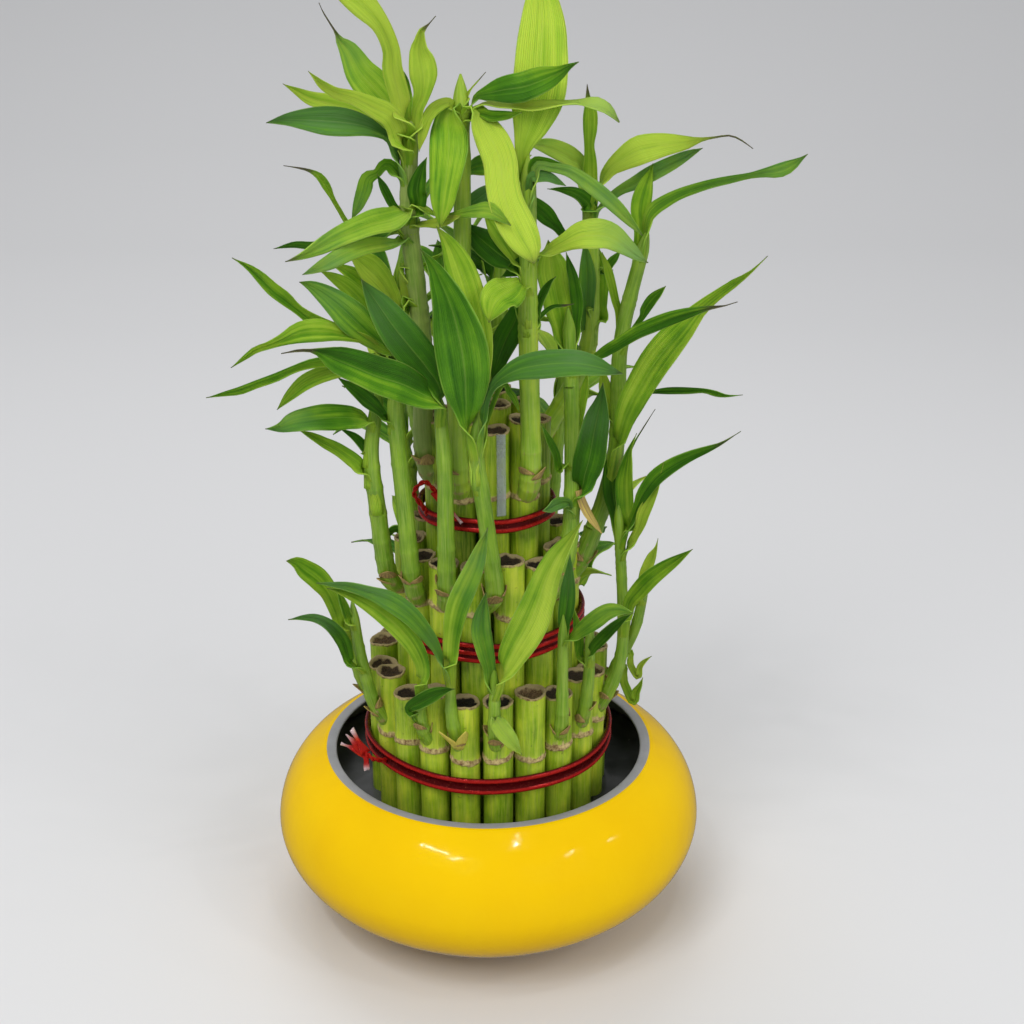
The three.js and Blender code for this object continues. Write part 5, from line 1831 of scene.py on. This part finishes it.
def cane_places() -> list[CanePlace]:
    """Works out the place of every cane, ring by ring.

    Returns:
        The places, from the outermost ring inwards.
    """
    places = []
    counts = {"lower": 0, "middle": 0, "upper": 0}
    for ring in RINGS:
        for k in range(ring.count):
            counts[ring.tier] += 1
            angle = ring.turn + 360 / ring.count * k
            top = ring.top + TOP_STEPS[k % len(TOP_STEPS)]
            scar = ring.scar + TOP_STEPS[(k + 3) % len(TOP_STEPS)] / 2
            name = f"{ring.tier}_{counts[ring.tier]:02d}"
            at = at_angle(ring.radius, angle)
            places.append(CanePlace(name, ring.tier, angle, at, top, scar, len(places)))
    return places


@dataclass(frozen=True)
class Growth:
    """The seeded rule for the shoots at the back of one tier."""

    canes: tuple[int, ...]
    climb: tuple[float, float]
    reach: tuple[float, float]


GROWN = {
    "lower": Growth((9, 11, 13), (25, 40), (24, 36)),
    "middle": Growth((7, 9, 11), (38, 55), (34, 46)),
    "upper": Growth((5, 6, 7), (35, 55), (36, 50)),
}
LEAVES_PER_SHOOT = 4
SMALL_LEAVES = 4
TONE_TURNS = (FRESH, LIGHT, GREEN, DEEP)  # the tones that the leaves of a shoot take in turn
SEED = 20241


def grown_shoot(place: CanePlace, rule: Growth, draws: Iterator[float]) -> ShootPlan:
    """Plans one shoot at the back.

    Args:
        place: the cane that bears it.
        rule: its tier's rule.
        draws: the seeded draws.

    Returns:
        The shoot's plan.
    """
    def between(ends: tuple[float, float]) -> float:
        """One draw between two ends."""
        return ends[0] + (ends[1] - ends[0]) * next(draws)

    heading = place.angle + (next(draws) - 0.5) * 30
    climb = between(rule.climb)
    out = at_angle(1, heading)
    root = place.at + out * 6
    root.z = place.scar + 12
    path = [tuple(root + out * 10 * share + UP * climb * share) for share in (0, 0.35, 0.7, 1)]
    leaves = []
    for k in range(LEAVES_PER_SHOOT):
        side = 180 + (1 if k % 2 else -1) * (15 + 45 * next(draws))
        at = root.z + climb * (1 - 0.14 * k)
        reach = between(rule.reach)
        rise = 0.6 - 0.25 * k + 0.3 * next(draws)
        tip = Vector(path[-1]) + at_angle(1, side) * reach * 0.85
        tip.z = at + reach * rise
        tone = TONE_TURNS[(k + place.number) % len(TONE_TURNS)]
        dry = 1.0 if (k + place.number) % 3 == 0 else 0.0
        leaves.append(BowedLeaf(at - 2, tuple(tip), 6, 8 + 4 * next(draws), 0.4, tone, dry))
    extra = random.Random(SEED + place.number)
    for k in range(SMALL_LEAVES):
        side = 180 + extra.uniform(-110, 110)
        at = root.z + climb * (0.9 - 0.2 * k)
        reach = rule.reach[0] * extra.uniform(0.45, 0.75)
        base = at_height([Vector(point) for point in path], at)[0]
        tip = base + at_angle(reach, side, reach * extra.uniform(0.2, 0.9))
        wide = extra.uniform(6, 9)
        leaves.append(BowedLeaf(at, tuple(tip), 4, wide, 0.5, extra.choice((LIGHT, GREEN, DEEP))))
    return ShootPlan(place.name, tuple(path), tuple(leaves), GREEN, out)


def all_shoots(places: list[CanePlace]) -> dict[str, ShootPlan]:
    """Every shoot's plan by the name of its cane.

    Args:
        places: where the canes stand.

    Returns:
        The plans, by name.
    """
    draws = seeded_draws(SEED)
    by_name = {place.name: place for place in places}
    plans = {plan.cane: plan for plan in PLACED_SHOOTS}
    for tier, rule in GROWN.items():
        for number in rule.canes:
            name = f"{tier}_{number:02d}"
            plans[name] = grown_shoot(by_name[name], rule, draws)
    return plans


@dataclass(frozen=True)
class Girth:
    """How thick a tier's shoots are, and how long their sheaths."""

    base: float
    top: float
    sheath: float


GIRTHS = {"lower": Girth(2.5, 1.6, 8.0), "middle": Girth(3.3, 2.1, 13.0), "upper": Girth(3.6, 2.4, 14.0)}
BLACK_TOPS = ("lower_01", "lower_21", "middle_15")
TAN_TOPS = ("lower_02", "upper_03", "upper_12")
BRACT_CANE = "lower_21"
SHEATH_CANE = "middle_03"
# A cane round its scar, and under its top: (how wide it is for its width, how far above, bark)
SCAR_PROFILE = ((0.985, -9, 0), (0.985, -3.2, 0), (1, -1.2, 0.25), (1.05, -0.5, 0.95), (1.065, 0, 1),
                (1.02, 0.45, 0.9), (0.985, 1.4, 0.35), (0.975, 4, 0))
TOP_PROFILE = ((0.985, -2.2, 0), (0.99, -1.1, 0.2), (1, -0.5, 0.7), (1.01, -0.1, 0.9))
# The dried top, from its rim inwards: (share of its radius, rise, share of its depth, tan)
DISH_PROFILE = ((0.95, 0.2, 0, 1), (0.87, 0.05, 0, 1), (0.78, 0, 0.5, 0.5), (0.6, 0, 1, 0.1),
                (0.35, 0, 0.85, 0), (0.12, 0, 0.6, 0))


@dataclass
class Cane:
    """One cut cane, with its scar, its dried top and, on most, a leafy shoot."""

    place: CanePlace
    plan: ShootPlan | None = None
    radius: float = 5.1
    bottom: float = 6.0
    internode: float = 46.0
    dish: float = 1.7
    sides: int = 24
    shoot_sides: int = 16

    def __post_init__(self) -> None:
        """Starts the cane's own draws."""
        self.draws = random.Random(1000 + self.place.number)
        self.chance = self.draws.random()
        self.lean = math.radians(self.draws.uniform(3, 13))
        self.lean_way = self.draws.uniform(0, math.tau)
        self.width = self.radius * self.draws.uniform(0.96, 1.0)
        self.phases = [self.draws.uniform(0, math.tau) for _ in range(4)]
        self.girth = GIRTHS[self.place.tier]

    def profile(self) -> list[Triple]:
        """The outside as (radius, height, bark), from the bottom to the rim.

        Returns:
            Its rows.
        """
        scar, top, w = self.place.scar, self.place.top, self.width
        rows = [(w * 0.96, self.bottom, 0.0), (w, self.bottom + 1, 0.0)]
        joint = scar - self.internode
        joints = []
        while joint > self.bottom + 20:
            joints = [(w, joint - 2, 0), (w * 1.03, joint, 0.7), (w * 0.98, joint + 1, 0.2), *joints]
            joint -= self.internode
        rows += joints
        rows += [(w * wide, scar + rise, bark) for wide, rise, bark in SCAR_PROFILE]
        rows.append((w * 0.98, (scar + top) / 2 + 2, 0.0))
        return rows + [(w * wide, top + rise, bark) for wide, rise, bark in TOP_PROFILE]

    def stalk(self, model: Modeller) -> None:
        """Raises the cane ring by ring, crumples its papery rims and sinks its dried top.

        Args:
            model: the mesh.
        """
        rows = self.profile()
        frame_here = Matrix.Translation(self.place.at)
        verts, edges = model.ring(frame_here @ Matrix.Translation(UP * rows[0][1]), rows[0][0], self.sides)
        foot = edges
        tone = 0.15 + 0.65 * self.draws.random()
        spots = {}
        papery = {}
        made = []
        for before, row in zip([rows[0], *rows], rows):
            if row is not rows[0]:
                verts, edges, faces = model.extend(edges, self.step(before, row))
                made += faces
            model.tint(verts, tone, self.chance, row[2])
            model.map_ring(verts, frame_here, row[1], self.sides, spots)
            papery.update({vert: row[2] for vert in verts})
        made += bmesh.ops.edgeloop_fill(model.bm, edges=foot)["faces"]
        model.write_map(made, spots)
        model.dress(made, Skin.CANE.value)
        papery.update(self.sink(model, edges, rows[-1]))
        self.crumple(papery)

    def step(self, before: tuple, row: tuple) -> Matrix:
        """The move from one ring of the cane to the next.

        Args:
            before: the ring's row of profile().
            row: the next one.

        Returns:
            The move.
        """
        centre = self.place.at + UP * before[1]
        grow = row[0] / before[0]
        move = Matrix.Translation(centre + UP * (row[1] - before[1]))
        return move @ Matrix.Diagonal((grow, grow, 1, 1)) @ Matrix.Translation(-centre)

    def crumple(self, papery: dict) -> None:
        """Leans the scar and makes the papery rims uneven.

        Args:
            papery: how papery each corner of the cane is.
        """
        way = Vector((math.cos(self.lean_way), math.sin(self.lean_way), 0))
        a, b, c, d = self.phases
        for vert, bark in papery.items():
            local = vert.co - self.place.at
            angle = math.atan2(local.y, local.x)
            near = 1 - smooth(abs(vert.co.z - self.place.scar), 3.0, 8.0)
            lean = local.dot(way) * math.tan(self.lean) * near
            sag = 0.3 * math.sin(2 * angle + a) + 0.14 * math.sin(5 * angle + b)
            sag += 0.1 * math.sin(9 * angle + c)
            flare = 0.08 * math.sin(3 * angle + c) + 0.07 * math.sin(7 * angle + d)
            out = Vector((local.x, local.y, 0)).normalized()
            vert.co += UP * (lean + sag * bark) + out * flare * bark

    def sink(self, model: Modeller, edges: list, rim: tuple) -> dict:
        """Turns the rim inwards and sinks the dried pith.

        Args:
            model: the mesh.
            edges: the edges of the cane's last ring.
            rim: that ring's radius, height and bark.

        Returns:
            How papery each new corner is.
        """
        depth = self.dish * self.draws.uniform(0.7, 1.5)
        shade = self.draws.uniform(0.15, 0.75)
        if self.place.name in BLACK_TOPS:
            shade = 0.05
        elif self.place.name in TAN_TOPS:
            shade = 0.7
        papery = {}
        made = []
        before = rim
        for share, rise, sunk, tan in DISH_PROFILE:
            row = (rim[0] * share, rim[1] + rise - depth * sunk, tan)
            verts, edges, faces = model.extend(edges, self.step(before, row))
            model.tint(verts, 0.5, shade, tan)
            for vert in verts:
                vert.co += Vector([self.draws.uniform(-0.2, 0.2) for _ in range(3)]) * (1.1 - share)
                papery[vert] = tan
            made += faces
            before = row
        made += bmesh.ops.edgeloop_fill(model.bm, edges=edges)["faces"]
        model.dress(made, Skin.CUT.value)
        return papery

    def joints(self, top: float) -> list[float]:
        """The heights of the shoot's joints: close together at its foot, then at each leaf.

        Args:
            top: the height of the shoot's tip.

        Returns:
            The heights.
        """
        heights = []
        z = self.place.scar + 5.5
        gap = self.draws.uniform(3.0, 4.2)
        for _ in range(4):
            heights.append(z)
            z += gap
            gap *= 1.3
        feet = [row.at - self.girth.sheath for row in self.plan.leaves]
        return heights + [foot for foot in feet if heights[-1] + 3 < foot < top]

    def route(self) -> list[Vector]:
        """The shoot's middle, from inside the cane to the tip of its youngest, rolled leaf.

        Returns:
            Its points.
        """
        root = self.place.at.copy()
        root.z = self.place.scar - 1
        return catmull_rom([root, *(Vector(point) for point in self.plan.path)], 10)

    def shoot(self, model: Modeller) -> None:
        """Adds the shoot and its leaves.

        Args:
            model: the mesh.
        """
        route = self.route()
        joints = self.joints(route[-1].z)
        heights = sorted({*(p.z for p in route), *(z + step for z in joints for step in (-0.7, 0, 0.7))})
        points = [at_height(route, z)[0] for z in heights if route[0].z <= z <= route[-1].z]
        radii = []
        marks = []
        for point in points:
            ring = max(math.exp(-(((point.z - z) / 0.9) ** 2)) for z in joints)
            share = at_height(route, point.z)[2]
            radii.append((self.girth.base + (self.girth.top - self.girth.base) * share) * (1 + 0.09 * ring))
            foot = 1 - smooth(point.z, self.place.scar + 1, self.place.scar + 4)
            marks.append(max(0.75 * foot, 0.52 * ring * (1 - smooth(share, 0.1, 0.5))))
        tip_way = (route[-1] - route[-3]).normalized()
        for n, share in enumerate((0.86, 0.66, 0.4, 0.12)):
            points.append(route[-1] + tip_way * 1.8 * (n + 1))
            radii.append(self.girth.top * share)
            marks.append(0.0)
        looks = [(self.plan.tone.value, self.chance, mark) for mark in marks]
        model.sweep(points, radii, self.shoot_sides, Skin.SHOOT.value, lambda n: looks[n])
        for n, row in enumerate(self.plan.leaves):
            base, axis, share = at_height(route, row.at)
            stem = self.girth.base + (self.girth.top - self.girth.base) * share
            blade = Blade(base, row, self.plan.look, stem, self.girth.sheath, 31 * self.place.number + 7 * n)
            blade.build(model, axis)
        self.scales(model, route)

    def scales(self, model: Modeller, route: list[Vector]) -> None:
        """Adds dry scales round the foot, two yellow bracts on one cane and a hanging sheath on another.

        Args:
            model: the mesh.
            route: the shoot's middle.
        """
        for k in range(3):
            heading = 120 * k + self.draws.uniform(-35, 35) + self.place.angle
            z = self.place.scar + self.draws.uniform(4, 12)
            height, lean = self.draws.uniform(2.2, 4.5), self.draws.uniform(0.4, 1.4)
            self.scale(model, route, z, heading, height, lean, tone=0.3)
        if self.place.name == BRACT_CANE:
            for heading in (-44, 42):
                self.scale(model, route, self.place.scar + 5, heading, height=9.5, lean=3.6, tone=0.9)
        if self.place.name == SHEATH_CANE:
            self.scale(model, route, z=161, heading=78, height=-14, lean=7, tone=0.5)

    def scale(self, model: Modeller, route: list[Vector], z: float, heading: float, height: float,
              lean: float, tone: float) -> None:
        """Adds one scale that hugs the shoot and ends in a point.

        Args:
            model: the mesh.
            route: the shoot's middle.
            z: the height of the scale's foot.
            heading: the side of the shoot it grows on.
            height: how tall it is, below 0 when it hangs.
            lean: how far its point stands off the shoot.
            tone: how yellow it is.
        """
        rows = 6
        chance = self.draws.random()
        radius = self.girth.base * 1.02

        def place(s: float, row: int) -> Vector:
            """The scale wraps the stem at its foot and stands free at its point.

            Args:
                s: how far across, from -1 to 1.
                row: how far along, in rows.

            Returns:
                The corner there.
            """
            share = row / rows
            middle = at_height(route, z + height * share)[0]
            spread = 62 * (1 - share**1.5) * s
            return middle + at_angle(radius + lean * share**1.4, heading + spread)

        model.sheet(4, rows, place, lambda s, row: (tone, chance, 0.0), 0.22, Skin.SCALE.value)

    def build(self, palette: Palette) -> None:
        """Builds the cane with all that grows on it as one piece.

        Args:
            palette: every material.
        """
        model = Modeller()
        self.stalk(model)
        if self.plan:
            self.shoot(model)
        model.piece(f"plant_{self.place.name}", palette.plant, f"cane_{self.place.name}", "plant")


@dataclass
class Arrangement:
    """The whole plant: the bowl, the water, the bundle, its ties and its strip."""

    cane: float = 4.9

    def ties(self) -> list[FoilTie]:
        """The three ties, one to a tier.

        Returns:
            The ties, from the lowest.
        """
        lower, middle, upper, _ = RINGS
        return [
            FoilTie("tie_lower", lower.radius + self.cane, 66.5, 2, 4.0, -54,
                    ((-38, -29.5, 69.5), (-41, -30, 72.5)),
                    ((-47, -30, 79.5), (-49, -29, 75.5), (-45, -31, 82), (-40.5, -31.5, 66.5)), seed=3),
            FoilTie("tie_middle", middle.radius + self.cane, 110.5, 3, 2.6, 150,
                    ((17.5, 30, 112.5), (18, 33, 115.5)),
                    ((20, 36, 118.5), (16, 37, 116.5), (19, 33, 120.5)), seed=5),
            FoilTie("tie_upper", upper.radius + self.cane, 150, 2, 3.0, -62,
                    ((-20.5, -12.5, 153), (-23.5, -12, 158), (-20, -12.5, 162), (-16.5, -13.5, 159)),
                    ((-12, -18.5, 154), (-8, -22.5, 151.5)), seed=8),
        ]

    def build(self, palette: Palette) -> None:
        """Builds every piece in order.

        Args:
            palette: every material.
        """
        Bowl().build(palette)
        Water().build(palette)
        for tie in self.ties():
            tie.build(palette)
        PlasticStrip().build(palette)
        places = cane_places()
        shoots = all_shoots(places)
        for place in places:
            Cane(place, shoots.get(place.name)).build(palette)


# ---- Studio ----


@dataclass
class Studio:
    """The pale floor, the soft lights and the camera at the photograph's angle."""

    sensor: float = 36.0
    floor_size: float = 6.0
    rise_from: float = 0.9
    rise_run: float = 1.2
    rise_to: float = 1.4
    paper: Triple = (0.7, 0.7, 0.71)
    air_tint: Triple = (0.95, 0.96, 0.97)
    key: float = 7.0
    fill: float = 4.5
    behind: float = 5.5
    even: float = 0.5
    mirrored: float = 0.2
    glints: tuple[tuple[float, float], ...] = ((-0.62, -0.5), (-0.5, -0.62), (-0.42, -0.85), (0.25, -0.45),
                                               (1.15, -0.75), (1.2, -0.9), (1.9, -0.4))

    def floor(self) -> None:
        """Lays a wide pale floor that rises softly at the back."""
        bm = bmesh.new()
        bmesh.ops.create_grid(bm, x_segments=1, y_segments=24, size=self.floor_size / 2)
        for vert in bm.verts:
            back = max(vert.co.y - self.rise_from, 0)
            vert.co.z = self.rise_to * (1 - math.cos(min(back / self.rise_run, math.pi / 2)))
        mesh = bpy.data.meshes.new("studio_floor")
        bm.to_mesh(mesh)
        bm.free()
        for face in mesh.polygons:
            face.use_smooth = True
        material = bpy.data.materials.new("studio_paper")
        material.use_nodes = True
        shader = material.node_tree.nodes["Principled BSDF"]
        Nodes(material.node_tree).set(shader, Base_Color=(*self.paper, 1.0), Roughness=0.7)
        mesh.materials.append(material)
        floor = bpy.data.objects.new("studio_floor", mesh)
        floor.visible_glossy = False
        bpy.context.scene.collection.objects.link(floor)

    def lamp(self, name: str, at: Triple, size: tuple[float, float], power: float,
             shines: bool = False) -> None:
        """Adds a soft rectangular lamp that looks at the plant.

        Args:
            name: its name.
            at: where it hangs, in metres.
            size: its width and height, in metres.
            power: its power, in watts.
            shines: whether it is mirrored in gloss.
        """
        data = bpy.data.lights.new(name, "AREA")
        data.shape = "RECTANGLE"
        data.size, data.size_y = size
        data.energy = power
        lamp = bpy.data.objects.new(name, data)
        lamp.location = at
        lamp.rotation_euler = (Vector((0, 0, 0.13)) - Vector(at)).to_track_quat("-Z", "Y").to_euler()
        lamp.visible_glossy = shines
        bpy.context.scene.collection.objects.link(lamp)

    def lights(self) -> None:
        """Hangs a key, a fill, a light behind the leaves and the small lamps that glint in the glaze."""
        self.lamp("key", (-0.45, -0.85, 1.2), (0.7, 0.6), self.key)
        self.lamp("fill", (0.8, -1.0, 0.8), (0.9, 0.7), self.fill)
        self.lamp("behind", (-0.2, 0.7, 1.3), (0.9, 0.7), self.behind)
        for n, (x, y) in enumerate(self.glints):
            self.lamp(f"glint_{n}", (x, y, 1.5), (0.09, 0.025), 0.8, shines=True)
        self.air()
        bpy.context.scene.view_settings.view_transform = "Standard"

    def air(self) -> None:
        """Fills the room with even light, and keeps it dim where gloss mirrors it."""
        world = bpy.data.worlds.new("studio_air")
        world.use_nodes = True
        nodes = Nodes(world.node_tree)
        background = world.node_tree.nodes["Background"]
        glossy = nodes.add("LightPath").outputs["Is Glossy Ray"]
        strength = nodes.range(glossy, 0, 1, self.even, self.mirrored)
        nodes.set(background, Color=(*self.air_tint, 1.0), Strength=strength)
        bpy.context.scene.world = world

    def camera(self) -> None:
        """Sets the camera where the photograph was taken from."""
        data = bpy.data.cameras.new("photo_camera")
        data.sensor_width = self.sensor
        data.lens = self.sensor * SIGHT.reach / (2 * SIGHT.middle)
        camera = bpy.data.objects.new("photo_camera", data)
        camera.location = Vector(SIGHT.eye) * MM
        camera.rotation_euler = SIGHT.turned().to_euler()
        bpy.context.scene.collection.objects.link(camera)
        bpy.context.scene.camera = camera

    def build(self) -> None:
        """Sets the stage."""
        self.camera()
        self.floor()
        self.lights()


def main() -> None:
    """Builds the studio and the arrangement."""
    logging.basicConfig(level=logging.INFO, format="%(message)s")
    Studio().build()
    Arrangement().build(Palette.make())


if __name__ == "__main__":
    main()
